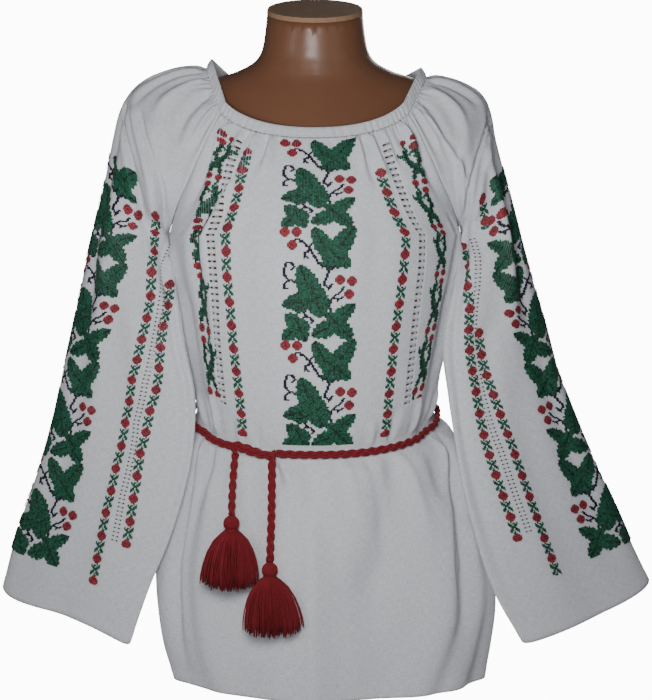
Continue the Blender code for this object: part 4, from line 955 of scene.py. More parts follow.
def sleeve_surface(side, along, across):
    """Outer face of a sleeve: along counts rows from the neck, across runs from the front seam
    over the outer line (0.5) to the back seam."""
    along, across = np.broadcast_arrays(np.asarray(along, float), np.asarray(across, float))
    word = SIDE_WORD[side]
    front_side = across <= 0.5

    def read(name):
        return smooth(SLEEVE[name], along)

    def read_low(name):
        return smooth(SLEEVE[name][SEAM_END:], np.maximum(along - SEAM_END, 0))

    def read_seam(axis):
        row = np.minimum(along, SEAM_END)
        return np.where(front_side, smooth(SEAM["front_" + axis], row),
                        smooth(SEAM["back_" + axis], row))

    outer = np.stack([read("outer_" + word), read("outer_y"), read("outer_" + word + "_z")], -1)
    inner = np.stack([read_low("inner_" + word), read_low("inner_y"),
                      read_low("inner_" + word + "_z")], -1)
    seam = np.stack([side * read_seam("x"), read_seam("y"), read_seam("z")], -1)
    seam = np.where((along >= SEAM_END)[..., None], inner, seam)

    pull = np.where(front_side, read("front"), read("back"))
    forward = np.zeros_like(outer)
    forward[..., 1] = np.where(front_side, -1.0, 1.0)
    start = seam + (outer - seam) * read("lean")[..., None] + forward * read("swell")[..., None]
    end = outer + forward * pull[..., None]
    t = 2 * from_edge(across)
    t = ((1 - SLEEVE_EVENING) * t + SLEEVE_EVENING * (1 - np.cos(math.pi * t)) / 2)[..., None]
    return (seam * (1 - t) ** 3 + 3 * start * t * (1 - t) ** 2
            + 3 * end * t * t * (1 - t) + outer * t ** 3)


SLEEVE_FRONT_COLUMNS = 96     # cloth cells across the front half, seen most
SLEEVE_BACK_COLUMNS = 54
CUFF_HEM = 0.010
CUFF_WAVE_ROW = 14.6          # below it the cuff edge dips and rises a little
CUFF_BULGE = {-1: 0.002, 1: 0.010}
CUFF_RIPPLE = {-1: 0.0035, 1: 0.0005}
CUFF_RIPPLES = 6.6            # half waves from the front fold to the back one

# The sleeves' creases, in the same columns as the body's
SLEEVE_CREASES = {
    "left": (
        # gathers that run from the band over the shoulder
        (0.1, 0.10, 2.6, 0.08, 2.0, 4.5, 0.0), (0.1, 0.20, 3.1, 0.14, -2.2, 5.0, 0.0),
        (0.1, 0.28, 2.9, 0.25, 2.4, 5.0, 2.0), (0.1, 0.36, 3.5, 0.34, -2.2, 5.0, 0.0),
        (0.1, 0.44, 2.6, 0.43, 2.2, 5.0, 0.0), (0.1, 0.56, 2.9, 0.57, -2.2, 5.0, 0.0),
        (0.1, 0.66, 3.3, 0.66, 2.4, 5.5, 0.0), (0.1, 0.76, 2.9, 0.78, -2.0, 5.0, 0.0),
        (0.1, 0.87, 3.1, 0.88, 2.2, 5.0, 0.0),
        # long soft folds that fall from the top of the shoulder and from the armpit
        (3.4, 0.45, 7.4, 0.140, -3.8, 5.0, -14.0), (3.2, 0.37, 7.2, 0.110, 3.0, 6.0, -14.0),
        (3.2, 0.32, 6.6, 0.075, -3.4, 4.6, -14.0), (8.0, 0.30, 13.0, 0.335, 1.8, 10.0, 0.0),
        (4.2, 0.20, 8.2, 0.03, 2.6, 8.0, 0.0), (6.8, 0.06, 15.2, 0.10, -2.6, 8.0, 4.0),
        (9.0, 0.22, 15.9, 0.23, 2.2, 9.0, 0.0), (10.0, 0.34, 15.9, 0.36, -2.0, 9.0, 0.0),
        (4.0, 0.62, 12.0, 0.70, 2.8, 8.0, 6.0), (5.0, 0.78, 13.0, 0.82, -2.8, 8.0, -4.0),
        (7.5, 0.94, 15.0, 0.90, 2.4, 7.0, 0.0), (10.0, 0.58, 15.9, 0.62, 2.4, 9.0, 0.0),
    ),
    "right": (
        (0.1, 0.10, 2.8, 0.09, 2.0, 4.5, 0.0), (0.1, 0.18, 3.1, 0.13, -2.2, 5.0, 0.0),
        (0.1, 0.27, 3.3, 0.22, 2.4, 5.0, 2.0), (0.1, 0.35, 2.9, 0.34, -2.2, 5.0, 0.0),
        (0.1, 0.45, 2.9, 0.44, 2.2, 5.0, 0.0), (0.1, 0.55, 3.1, 0.56, -2.2, 5.0, 0.0),
        (0.1, 0.65, 2.9, 0.67, 2.4, 5.5, 0.0), (0.1, 0.77, 3.3, 0.78, -2.0, 5.0, 0.0),
        (0.1, 0.88, 2.8, 0.88, 2.2, 5.0, 0.0), (3.4, 0.44, 7.0, 0.040, -3.4, 5.0, -18.0),
        (3.8, 0.46, 7.6, 0.100, 1.8, 8.0, -16.0), (0.6, 0.122, 5.6, 0.165, 1.8, 3.2, -5.0),
        (3.8, 0.16, 8.6, 0.02, 3.2, 7.0, 2.0), (4.4, 0.30, 11.6, 0.26, 2.8, 8.0, 6.0),
        (7.0, 0.07, 15.4, 0.12, -2.6, 8.0, 3.0), (9.4, 0.24, 15.9, 0.22, 2.0, 9.0, 0.0),
        (10.4, 0.36, 15.9, 0.34, -2.0, 9.0, 0.0), (4.2, 0.64, 12.4, 0.68, 2.8, 8.0, 5.0),
        (5.4, 0.80, 13.0, 0.84, -2.8, 8.0, -3.0), (7.5, 0.93, 15.2, 0.91, 2.4, 7.0, 0.0),
        (9.6, 0.56, 15.9, 0.60, 2.4, 9.0, 0.0),
    ),
}
SLEEVE_CREASE_ENDS = (7, 1.12)
SLEEVE_CREASE_EDGE = 0.04
SLEEVE_ROW_HEIGHT = 0.05      # of the sleeve's lowest rows
CUFF_HEM_ROW = SLEEVE_END - CUFF_HEM / SLEEVE_ROW_HEIGHT
CUFF_STEP = 0.0012            # height over which the hem's edge rises
ROW_STEPS_BELOW = 1.3         # rows of cells stand this much wider apart below the armpit
UPPER_LINE = 0.45             # shares across along which they are spaced, above and below it
LOWER_LINE = 0.3
WALL_EDGE = 0.03              # share across, and rows, near the seams where the wall runs in
WALL_ROWS = 0.3
FOLD_SPINE = 0.007            # the walls beside the sharp inner fold face a line this far inside
SPINE_REACH = 2.2             # of that distance, where they do, and over how many rows
SPINE_ROWS = 4
UNDERARM_ROW = 7.7            # down to this row the sleeve laps over the side of the body
UNDERARM_START = 0.0028       # how far, at the armpit, and what it gains below it
UNDERARM_LAP = 0.0020
UNDERARM_EDGE = 0.12          # share across over which the lap fades
UNDERARM_RISE = 0.12          # rows over which it starts, gains and ends
UNDERARM_GAIN = 0.5
UNDERARM_FALL = 1.2
BRIDGE_ROWS = 0.8             # reach of the bridge over the hollow at the armpit, up and down
BRIDGE_EDGE = 0.05            # share across over which it rises
BRIDGE_LEAST = 0.001
BRIDGE_SHIFTS = (-0.8, -0.4, 0.0, 0.4, 0.8)
NORMAL_ROWS = 0.032           # rows between two places compared along a sleeve


def draped_sleeve(side, along, across):
    """A sleeve's form, its hollow in front of the armpit bridged by the hanging cloth."""
    plain = sleeve_surface(side, along, across)
    near = (np.exp(-((along - SEAM_END) / BRIDGE_ROWS) ** 2)
            * ease(from_edge(across) / BRIDGE_EDGE))
    if np.max(near) > BRIDGE_LEAST:
        around = sum(sleeve_surface(side, np.clip(along + shift, 0, SLEEVE_END), across)
                     for shift in BRIDGE_SHIFTS) / len(BRIDGE_SHIFTS)
        plain = plain + (around - plain) * near[..., None]
    close = (ease((along - SEAM_END + UNDERARM_RISE) / UNDERARM_RISE)
             * (1 - ease((along - UNDERARM_ROW) / UNDERARM_FALL)))
    lap = UNDERARM_START + UNDERARM_LAP * ease((along - SEAM_END) / UNDERARM_GAIN)
    plain[..., 0] -= (side * lap * close * (along >= SEAM_END)
                      * (1 - ease(from_edge(across) / UNDERARM_EDGE)))
    return plain


def sleeve_normal(side, along, across):
    """Direction out of a sleeve's cloth, from its plain form."""
    closed = along >= SEAM_END

    def at(row, share):
        share = np.where(closed, share % 1.0, np.clip(share, 0, 1))
        return draped_sleeve(side, row, share)

    along_step = (at(np.minimum(along + NORMAL_ROWS, SLEEVE_END), across)
                  - at(np.maximum(along - NORMAL_ROWS, 0), across))
    across_step = at(along, across + SHARE_STEP) - at(along, across - SHARE_STEP)
    return unit(np.cross(along_step, across_step)) * side


def sleeve_point(side, along, across):
    """Finished outer face of a sleeve and the direction out of it."""
    along, across = np.broadcast_arrays(np.asarray(along, float), np.asarray(across, float))
    base = draped_sleeve(side, along, across)
    out = sleeve_normal(side, along, across)
    neck = sleeve_surface(side, np.zeros_like(along), across)
    from_neck = np.where(along > SEAM_END, 1.0, np.linalg.norm(base - neck, axis=-1))
    word = SIDE_WORD[side]
    creases = crease_height(SLEEVE_CREASES[word], along, across, *SLEEVE_CREASE_ENDS)
    move = fold_height("sleeve_" + word, along, across)
    move = move + gather_height("sleeve", from_neck, across)
    move = ((move + creases + ruffle_height("sleeve", from_neck, across))
            * ease(from_edge(across) / SLEEVE_CREASE_EDGE))
    to_cuff = (SLEEVE_END - along) * SLEEVE_ROW_HEIGHT
    move = move + HEM_STEP * ease((CUFF_HEM - to_cuff) / CUFF_STEP)
    flare = ease((along - CUFF_WAVE_ROW) / (SLEEVE_END - CUFF_WAVE_ROW))
    wave = CUFF_BULGE[side] * np.sin(math.pi * np.clip(2 * from_edge(across), 0, 1))
    wave = wave + CUFF_RIPPLE[side] * np.sin(CUFF_RIPPLES * from_edge(across) * math.pi)
    base[..., 2] -= wave * flare
    move = move - seam_dip(across) * (along < SEAM_END)
    return base + out * move[..., None], out


def sleeve_shell(side, name):
    """Thin shell of one sleeve: open along the raglan seams, a tube below the armpit."""
    rows = np.concatenate([
        row_numbers(lambda at: sleeve_surface(side, at, UPPER_LINE), 0.0, SEAM_END,
                    ROW_STEP)[:-1],
        row_numbers(lambda at: sleeve_surface(side, at, LOWER_LINE), SEAM_END, SLEEVE_END,
                    ROW_STEPS_BELOW * ROW_STEP)])
    across = np.concatenate([np.linspace(0, 0.5, SLEEVE_FRONT_COLUMNS + 1)[:-1],
                             np.linspace(0.5, 1, SLEEVE_BACK_COLUMNS + 1)])
    outer, out = sleeve_point(side, *np.meshgrid(rows, across, indexing="ij"))
    # the wall runs in square to the sleeve's face, and near the seams into the garment
    share = np.clip((SEAM_END - rows[:, None]) / (SEAM_END / 2), 0, 1)
    share = share * (1 - ease(from_edge(across) / WALL_EDGE))[None, :]
    share = np.maximum(share, 1 - ease(rows / WALL_ROWS)[:, None])[..., None]
    inwards = unit(-out * (1 - share) + inward(outer) * share)
    # below the armpit it turns towards the spine beside the inner fold
    tube = rows >= SEAM_END
    fold_line = outer[tube][:, :1]
    far_line = outer[tube][:, SLEEVE_FRONT_COLUMNS:SLEEVE_FRONT_COLUMNS + 1]
    spine = fold_line + unit(far_line - fold_line) * FOLD_SPINE
    reach = SPINE_REACH * FOLD_SPINE
    near = 1 - ease(np.linalg.norm(outer[tube] - fold_line, axis=-1) / reach)
    near = (near * (1 - ease((rows[tube] - SEAM_END) / SPINE_ROWS))[:, None])[..., None]
    inwards[tube] = unit(inwards[tube] * (1 - near) + unit(spine - outer[tube]) * near)
    for edge in (0, -1):
        outer[~tube, edge, 0] += side * SEAM_GAP / 2
        outer[~tube, edge, 2] += SEAM_GAP / 2
    inner = outer + inwards * CLOTH
    outer[tube, -1] = outer[tube, 0]
    inner[tube, -1] = inner[tube, 0]
    piece = cloth_piece("shirt_" + name, shell_mesh("shirt_" + name, outer, inner,
                                                    joined=int(np.argmax(tube))))
    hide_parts(name)
    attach(piece, "root")


sleeve_shell(-1, "sleeve_left")
sleeve_shell(1, "sleeve_right")


# ------------------------------------------------------------------ neck band
# A narrow straight band of the same cloth, folded in half and sewn over the gathered neck edge.
# It puckers a little all the way round, because the gathers pull on it.
BAND_HEIGHT = 0.0118
BAND_WALL = 0.0022
BAND_LEAN = 0.45
BAND_OUTSET = 0.0004
BAND_STEPS = 290              # places along each of the four pieces
BAND_PUCKER = 0.0011
BAND_PUCKERS = 122
# Its section from the foot up the outer face, over the fold and down the inner face: share of
# the height, share of the wall, share of the puckers
BAND_SECTION = (
    (0.00, -0.25, 0.9), (0.06, -0.42, 1.0), (0.14, -0.10, 0.5), (0.32, -0.20, 0.9),
    (0.55, -0.22, 0.7), (0.78, -0.12, 0.5), (0.93, 0.06, 0.3), (1.00, 0.35, 0.2),
    (1.00, 0.68, 0.2), (0.93, 0.94, 0.3), (0.70, 1.02, 0.4), (0.30, 1.0, 0.4),
    (0.00, 0.95, 0.4), (0.0, 0.40, 0.0),
)


def neck_edge(count):
    """Points round the neck edge: front, right sleeve, back, left sleeve."""
    end = ARMPIT_ROW + SEAM_END
    share = np.linspace(0, 1, count + 1)[:-1]
    return np.concatenate([body_surface("front", end, share), sleeve_surface(1.0, 0.0, share),
                           body_surface("back", end, 1 - share),
                           sleeve_surface(-1.0, 0.0, 1 - share)])


def neck_band():
    """Standing band with rounded edges, a stitched foot and small puckers."""
    edge = neck_edge(BAND_STEPS)
    flat_in = unit(-edge * LEVEL)
    up = unit(flat_in * BAND_LEAN + UP)
    round_once = np.linspace(0, 2 * math.pi, len(edge), endpoint=False)
    pucker = (np.sin(BAND_PUCKERS * round_once + 1.2 * np.sin(9 * round_once))
              * (0.6 + 0.4 * np.sin(23 * round_once)))
    foot = edge + up * SEAM_GAP - flat_in * BAND_OUTSET
    loops = []
    for rise, depth, share in BAND_SECTION:
        wave = (pucker * BAND_PUCKER * share)[:, None]
        loops.append(foot + up * BAND_HEIGHT * rise + flat_in * (BAND_WALL * depth - wave))
    grid = np.stack(loops + loops[:1])
    grid = np.concatenate([grid, grid[:, :1]], axis=1)
    rows, columns = grid.shape[:2]
    points = grid[:-1, :-1].reshape(-1, 3)
    index = np.arange(len(points)).reshape(rows - 1, columns - 1)
    index = np.pad(index, ((0, 1), (0, 1)), mode="wrap")
    mesh = bpy.data.meshes.new("shirt_neck_band")
    mesh.from_pydata(points, [], grid_cells(index).reshape(-1, 4).tolist())
    flat = np.stack(np.meshgrid(lengths_along(grid[0]), lengths_along(grid[:, 0])), -1)
    layer = mesh.uv_layers.new(name="cloth")
    layer.data.foreach_set("uv", grid_cells(flat).astype(np.float32).ravel())
    band = cloth_piece("shirt_neck_band", mesh)
    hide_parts("neck_band")
    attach(band, "root")


neck_band()


# ------------------------------------------------------------------ embroidery
# Counted cross-stitch in stranded cotton: every stitch is two short diagonals of floss, the
# second laid over the first. A vine with leaves and berries runs down the middle and down both
# sleeves, with narrow berry borders on both sides of the drawn-thread ladders.
STITCH = 0.00155              # one cross
FLOSS_HALF_WIDTH = 0.00092
LEG_OVERLAP = 0.06            # floss shares its holes with the next cross
LOW_LEG = (0.00040, 0.00074)  # how far the first diagonal's ends and middle stand off the cloth
HIGH_LEG = (0.00052, 0.00104)
NECK_STAND = 0.0008           # stitches ride higher over the gathers below the neck band
NECK_STAND_ROW = 12.0
NECK_STAND_ROWS = 3.0
SHRINK_ROWS = 4               # where the cloth spreads, a band keeps its width over these rows
MOST_SPREAD = 1.5             # floss thickens at most this much on a stretched cross
ROUTE_STEPS = 900             # places at which the cloth under a band is measured along it
REACH = 0.36                  # how far either way across it is measured, and at how many places
REACH_STEPS = 121
PAST_SEAM = 0.4               # metres of width for each share across, past a seam
SHADE_SPREAD = 0.34           # single stitches differ this much in shade
UNDER_LEG_PAINTED_SHADE, OVER_LEG_PAINTED_LIGHT = -0.12, 0.08    # painted shade on the first diagonal, which lies under, and painted light on the second
LEG_CORNERS = 5               # of one length of thread
GREEN, RED, NAVY = "green", "red", "navy"
# The dark and the light end of each colour; a stitch's shade runs from 0 to 1 between them
FLOSS_COLOURS = {
    GREEN: ((0.0006, 0.0032, 0.0024), (0.0185, 0.1560, 0.0840)),
    RED: ((0.034, 0.003, 0.006), (0.370, 0.034, 0.048)),
    NAVY: ((0.002, 0.001, 0.007), (0.010, 0.006, 0.032)),
}

VINE_REPEAT = 79              # stitches from one pair of leaves to the next
VINE_WIDTH = 49
VINE_MARGIN = 4               # berries and tips reach this far past the vine's width
# Lobes of the leaves, in stitches across and down: where each starts, its tip, its half width
VINE_LOBES = (
    (34, 23, 21, 0, 6.0), (31, 24, 49, -1, 6.6), (31, 15, 46, 27, 5.6),
    (23, 54, 12, 26, 7.8), (26, 46, 0, 54, 6.0), (20, 41, 27, 62, 8.2), (24, 48, 8, 58, 4.0),
    (30, 69, 49, 53, 5.2), (38, 66, 20, 75, 6.0), (32, 61, 47, 78, 5.8),
    (13, 70, 2, 60, 5.2), (14, 66, 0, 78, 5.2), (7, 67, 19, 70, 4.8), (9, 64, 16, 79, 5.4),
)
VINE_BERRIES = ((2, 3), (10, 3), (7, 12), (39, 36), (47, 37), (45, 46))
VINE_STEMS = (
    ((9, 8), (13, 9), (16, 12), (18, 14), (21, 19), (24, 24), (27, 27), (29, 23), (30, 27),
     (31, 31), (29, 35), (28, 39), (31, 42), (33, 39)),
    ((18, 13), (20, 11)), ((18, 16), (15, 17), (15, 20), (17, 21)),
    ((31, 30), (34, 28), (35, 26), (37, 28)),
    ((10, 39), (8, 37), (4, 36), (1, 32), (1, 28), (3, 24), (6, 24), (8, 27), (6, 29)),
    ((4, 36), (1, 39), (1, 41), (3, 42)),
    ((41, 41), (38, 45), (34, 48), (32, 50), (31, 54), (32, 57), (31, 60), (33, 63)),
    ((34, 48), (37, 50), (40, 48)),
    ((10, 59), (13, 57), (16, 61), (20, 64), (19, 66)), ((16, 61), (13, 63)),
)
# How the lobes are sewn, in stitches: the share of a lobe behind its foot, its teeth high and
# low, the side veins and the midrib, and the shades
LOBE_FOOT = 0.12
TOOTH_PITCH, TOOTH_HIGH, TOOTH_LOW = 4, 0.6, -0.2
VEIN_PITCH, VEIN_WIDTH, VEIN_SLANT = 4.6, 1.0, 0.9
RIB_HALF_WIDTH = 0.6
RIB_SHADE, VEIN_SHADE, LEAF_SHADE = 0.02, 0.22, 0.46
BERRY_SHADE, BERRY_MIDDLE_SHADE = 0.52, 0.1
STEM_SHADES = (0.4, 0.5, 0.3)      # of a stem's own stitch, the one beside, the one below
# Narrow border, one repeat: a berry and two leaflets (r red, d its dark middle, g green)
BORDER_CHART = (
    "..rrr..",
    ".rrrrr.",
    "rrrdrrr",
    "rrdrrrr",
    "rrrrrrr",
    ".rrrrr.",
    "..rrr..",
    "....g.g",
    "g.gg.gg",
    "ggg.ggg",
    ".ggggg.",
    "..ggg..",
    ".gg.gg.",
    "ggg.ggg",
    "gg.g.gg",
    "g..gg..",
)
BORDER_MIDDLE = 3.5
# Wide border: sprays of three berries on a scrolling stem with long leaves
SPRAY_REPEAT = 38
SPRAY_WIDTH = 17
SPRAY_BERRIES = ((4, 3), (11, 4), (5, 10))
SPRAY_LOBES = ((5, 13, 3, 25, 1.5), (3, 22, 10, 35, 1.7), (12, 12, 12, 25, 1.5),
               (12, 22, 4, 36, 1.7), (9, 31, 11, 39, 1.3), (5, 31, 3, 39, 1.3))
SPRAY_STEMS = (((11, 7), (9, 12), (11, 18), (8, 24), (6, 29), (9, 34), (11, 38)),
               ((5, 13), (8, 16)), ((6, 29), (3, 30), (2, 33), (4, 34)),
               ((11, 18), (15, 17), (16, 14)))


def sew_line(chart, points, colour):
    """Single stitches from point to point."""
    for (x, y), (end_x, end_y) in zip(points, points[1:]):
        count = max(abs(end_x - x), abs(end_y - y), 1)
        for step in range(count + 1):
            across = round(x + (end_x - x) * step / count)
            down = round(y + (end_y - y) * step / count)
            chart[(across, down)] = (colour, STEM_SHADES[0])
            chart[(across + 1, down)] = (colour, STEM_SHADES[1])
            if step % 3 == 0:
                chart[(across, down + 1)] = (colour, STEM_SHADES[2])


def sew_berry(chart, x, y, radius):
    """A round berry with a darker middle."""
    for i in range(-radius, radius + 1):
        for j in range(-radius, radius + 1):
            if i * i + j * j <= radius * radius + 1:
                shade = BERRY_MIDDLE_SHADE if i == j == 0 else BERRY_SHADE
                chart[(x + i, y + j)] = (RED, shade)


def sew_lobe(chart, base_x, base_y, tip_x, tip_y, half_width):
    """A pointed lobe with a toothed edge, a dark midrib and side veins."""
    length = math.hypot(tip_x - base_x, tip_y - base_y)
    along_x, along_y = (tip_x - base_x) / length, (tip_y - base_y) / length
    reach = int(length + half_width + 2)
    for x in range(base_x - reach, base_x + reach + 1):
        for y in range(base_y - reach, base_y + reach + 1):
            far = (x - base_x) * along_x + (y - base_y) * along_y
            aside = abs((x - base_x) * along_y - (y - base_y) * along_x)
            share = far / length
            if not -LOBE_FOOT <= share <= 1.0:
                continue
            place = LOBE_FOOT + (1 - LOBE_FOOT) * max(share, 0.0)
            bulge = max(math.sin(math.pi * place ** 1.05), 0.0) ** 0.50
            tooth = TOOTH_HIGH if int(far + 5 * TOOTH_PITCH) % TOOTH_PITCH < 2 else TOOTH_LOW
            if aside > half_width * bulge + tooth * min(1.0, 5 * (1 - share)):
                continue
            shade = LEAF_SHADE
            if aside < RIB_HALF_WIDTH:
                shade = RIB_SHADE
            elif (far - aside * VEIN_SLANT) % VEIN_PITCH < VEIN_WIDTH:
                shade = VEIN_SHADE
            chart[(x, y)] = (GREEN, shade)


def repeated_chart(period, rows, lobes, berries, berry_radius, stems, stem_colour):
    """Chart of a running pattern: its leaves, then stems, then berries, over and over."""
    part = {}
    for lobe in lobes:
        sew_lobe(part, *lobe)
    for points in stems:
        line = {}
        sew_line(line, points, stem_colour)
        for place, stitch in line.items():
            part.setdefault(place, stitch)
    for x, y in berries:
        sew_berry(part, x, y, berry_radius)
    chart = {}
    for start in range(0, rows, period):
        for (x, y), stitch in part.items():
            if 0 <= y + start < rows:
                chart[(x, y + start)] = stitch
    return chart


def vine_chart(rows):
    """The broad vine, from its first pair of leaves down."""
    chart = repeated_chart(VINE_REPEAT, rows, VINE_LOBES, VINE_BERRIES, 3, VINE_STEMS, NAVY)
    return {(x + VINE_MARGIN, y): stitch for (x, y), stitch in chart.items()}


def spray_chart(rows):
    """The wide border of berry sprays."""
    return repeated_chart(SPRAY_REPEAT, rows, SPRAY_LOBES, SPRAY_BERRIES, 2, SPRAY_STEMS, GREEN)


def border_chart(rows):
    """The narrow border of single berries and leaflets."""
    chart = {}
    kinds = {"r": (RED, 0.50), "d": (RED, 0.12), "g": (GREEN, 0.44)}
    for y in range(rows):
        for x, letter in enumerate(BORDER_CHART[y % len(BORDER_CHART)]):
            if letter in kinds:
                chart[(x, y)] = kinds[letter]
    return chart


def mirrored_chart(chart, width):
    """The same chart turned left to right."""
    return {(width - 1 - x, y): stitch for (x, y), stitch in chart.items()}


def floss_material(colour):
    """Stranded cotton: each stitch a little lighter or darker, with a soft lustre."""
    dark, light = FLOSS_COLOURS[colour]
    material, tree, shader = new_material("floss_" + colour, {
        "Roughness": 0.58, "Sheen Weight": 0.08, "Specular IOR Level": 0.32})
    tone = add_node(tree, "Attribute")
    tone.attribute_name = "shade"
    fibre = noise(tree, 2600.0, 2.0)
    share = ranged(tree, maths(tree, "MULTIPLY_ADD", fibre, 0.35, tone.outputs["Fac"]),
                   0.15, 1.15)
    feed(tree, shader, {"Base Color": blend(tree, share, dark, light),
                        "Normal": bump(tree, fibre, 0.35, 0.0003)})
    return material


def thread_legs(starts, ends, out, half_width, low, high, most_spread=1.0):
    """Corners and faces of short lengths of thread: a long diamond raised along its middle.

    most_spread is how much a length thickens at most where the cloth has spread it.
    """
    middle = (starts + ends) / 2
    starts = starts + (starts - middle) * LEG_OVERLAP
    ends = ends + (ends - middle) * LEG_OVERLAP
    spread = np.linalg.norm(ends - starts, axis=1) / (STITCH * math.sqrt(2))
    side = (unit(np.cross(out, ends - starts)) * half_width
            * np.clip(spread, 1.0, most_spread)[:, None])
    corners = np.stack([starts + out * low, middle - side + out * low, ends + out * low,
                        middle + side + out * low, middle + out * high], axis=1)
    first = np.arange(len(starts))[:, None] * LEG_CORNERS
    faces = [first + np.array([[corner, (corner + 1) % 4, 4]]) for corner in range(4)]
    return corners.reshape(-1, 3), np.concatenate(faces)


def threads_mesh(name, legs, shades, material):
    """One mesh of many lengths of thread; shades holds a tone for each."""
    faces, start = [], 0
    for corners, triangles in legs:
        faces.append(triangles + start)
        start += len(corners)
    mesh = bpy.data.meshes.new(name)
    mesh.from_pydata(np.concatenate([corners for corners, triangles in legs]), [],
                     np.concatenate(faces).tolist())
    tone = mesh.attributes.new("shade", "FLOAT", "POINT")
    values = np.repeat(np.concatenate(shades), LEG_CORNERS)
    tone.data.foreach_set("value", values.astype(np.float32))
    mesh.shade_smooth()
    mesh.materials.append(material)
    return mesh


def ordered(rows, values=None):
    """Rows in rising order with their values, for reading one from the other."""
    values = np.arange(len(rows)) if values is None else values
    return (rows, values) if rows[0] < rows[-1] else (rows[::-1], values[::-1])


def band_corners(place_at, form_at, route, datum, columns, rows, turn, facing):
    """Corners of a band's stitches on the cloth, and the way out of it.

    route rows hold the cloth's row number, its share across and the stitch row there, for the
    stitch column datum; turn is +1 where the columns run with the share across, and facing
    is -1 where they run towards the wearer's left.
    """
    places = np.array(route, float)
    fine = np.linspace(places[0, 0], places[-1, 0], ROUTE_STEPS)
    fine_across = np.interp(np.arange(ROUTE_STEPS), np.interp(places[:, 0], *ordered(fine)),
                            places[:, 1])
    length = lengths_along(form_at(fine, fine_across))
    stops = np.interp(places[:, 0], *ordered(fine, length))
    wanted_length = np.interp(np.arange(rows + 1), places[:, 2], stops)
    along = np.interp(wanted_length, length, fine)[:, None]
    middle = np.interp(wanted_length, length, fine_across)[:, None]
    shares = middle + np.linspace(-REACH, REACH, REACH_STEPS)[None, :]
    steps = np.linalg.norm(np.diff(form_at(along, shares), axis=1), axis=-1)
    gone = np.pad(np.cumsum(steps, axis=1), ((0, 0), (1, 0)))
    gone = gone - gone[:, REACH_STEPS // 2, None]
    wanted = turn * (np.arange(columns + 1) - datum) * STITCH
    across = np.stack([np.interp(wanted, *line) for line in zip(gone, shares)])
    points = place_at(along, across)
    spans = np.linalg.norm(points[:, -1] - points[:, 0], axis=-1)
    shrink = np.pad(np.minimum(1.0, columns * STITCH / spans), SHRINK_ROWS, mode="edge")
    window = 2 * SHRINK_ROWS + 1
    shrink = np.convolve(shrink, np.ones(window) / window, "valid")[:, None]
    points = place_at(along, middle + (across - middle) * shrink)
    out = unit(np.cross(np.gradient(points, axis=0), np.gradient(points, axis=1) * facing))
    stand = NECK_STAND * ease((along - NECK_STAND_ROW) / NECK_STAND_ROWS)
    return points + out * stand[..., None], out


def cross_stitch(points, out, chart, columns, rows, generator):
    """Both diagonals of every cross of a chart, by colour."""
    sewn = {}
    for colour in FLOSS_COLOURS:
        cells = [(x, y, shade) for (x, y), (kind, shade) in chart.items()
                 if kind == colour and 0 <= x < columns and 0 <= y < rows]
        if not cells:
            continue
        x, y, shade = (np.array(values) for values in zip(*cells))
        shade = shade + generator.uniform(-SHADE_SPREAD, SHADE_SPREAD, len(cells))
        # the under diagonal gets painted shade, the one laid over it painted light
        diagonals = ((points[y + 1, x], points[y, x + 1], LOW_LEG),
                     (points[y + 1, x + 1], points[y, x], HIGH_LEG))
        sewn[colour] = ([thread_legs(start, end, out[y, x], FLOSS_HALF_WIDTH, *leg, MOST_SPREAD)
                         for start, end, leg in diagonals],
                        [shade + UNDER_LEG_PAINTED_SHADE, shade + OVER_LEG_PAINTED_LIGHT])
    return sewn


def body_form(along, across):
    """The front's plain form, drawn out past its seams so that lengths can be read there."""
    inside = np.clip(across, 0, 1)
    points = body_surface("front", along, inside)
    points[..., 0] += (across - inside) * PAST_SEAM
    return points


def sleeve_form(side):
    """A sleeve's plain form as a function of row and share, drawn out past its seams."""
    def at(along, across):
        inside = np.clip(across, 0, 1)
        points = sleeve_surface(side, along, inside)
        points[..., 0] -= side * (across - inside) * PAST_SEAM
        return points
    return at


def front_place(along, across):
    """Finished front surface."""
    return panel_point("front", along, np.clip(across, 0, 1))


def sleeve_place(side):
    """Finished sleeve surface as a function of row and share across."""
    return lambda along, across: sleeve_point(side, along, np.clip(across, 0, 1))[0]


# Where each band runs: the cloth's row, the share across and the stitch row there
VINE_FRONT = ((19.7, 0.506, 0), (13.45, 0.504, 79), (10.3, 0.504, 158), (7.42, 0.506, 234))
BORDERS_FRONT = {
    "left": ((18.5, 0.255, 0), (15.95, 0.283, 32), (13.7, 0.307, 64), (12.65, 0.318, 80),
             (11.2, 0.315, 112), (10.15, 0.315, 144), (9.25, 0.318, 176), (7.55, 0.318, 214)),
    "right": ((17.05, 0.703, 0), (14.5, 0.693, 32), (12.55, 0.688, 64), (11.15, 0.682, 96),
              (10.15, 0.675, 128), (9.25, 0.675, 160), (7.55, 0.677, 198)),
}
SPRAYS_FRONT = {
    "left": ((19.2, 0.128, 0), (17.25, 0.155, 30), (15.25, 0.180, 57), (14.0, 0.208, 76),
             (12.6, 0.225, 104), (11.3, 0.232, 134), (10.2, 0.222, 160), (8.9, 0.228, 196)),
    "right": ((18.85, 0.885, 0), (16.1, 0.845, 40), (14.3, 0.815, 66), (12.65, 0.806, 96),
              (11.3, 0.810, 130), (10.0, 0.795, 166), (8.8, 0.775, 200)),
}
VINE_SLEEVE = {
    -1: ((5.4, 0.262, 0), (6.5, 0.196, 35), (7.35, 0.200, 54), (8.25, 0.225, 79),
         (9.4, 0.263, 117), (10.7, 0.308, 158), (11.75, 0.310, 196), (12.9, 0.311, 237),
         (14.0, 0.292, 276), (15.1, 0.290, 315)),
    1: ((5.75, 0.300, 0), (6.5, 0.240, 28), (7.6, 0.205, 54), (8.45, 0.228, 79),
        (9.5, 0.270, 117), (10.75, 0.306, 158), (11.75, 0.315, 196), (12.85, 0.320, 237),
        (13.9, 0.308, 276), (14.95, 0.303, 315)),
}
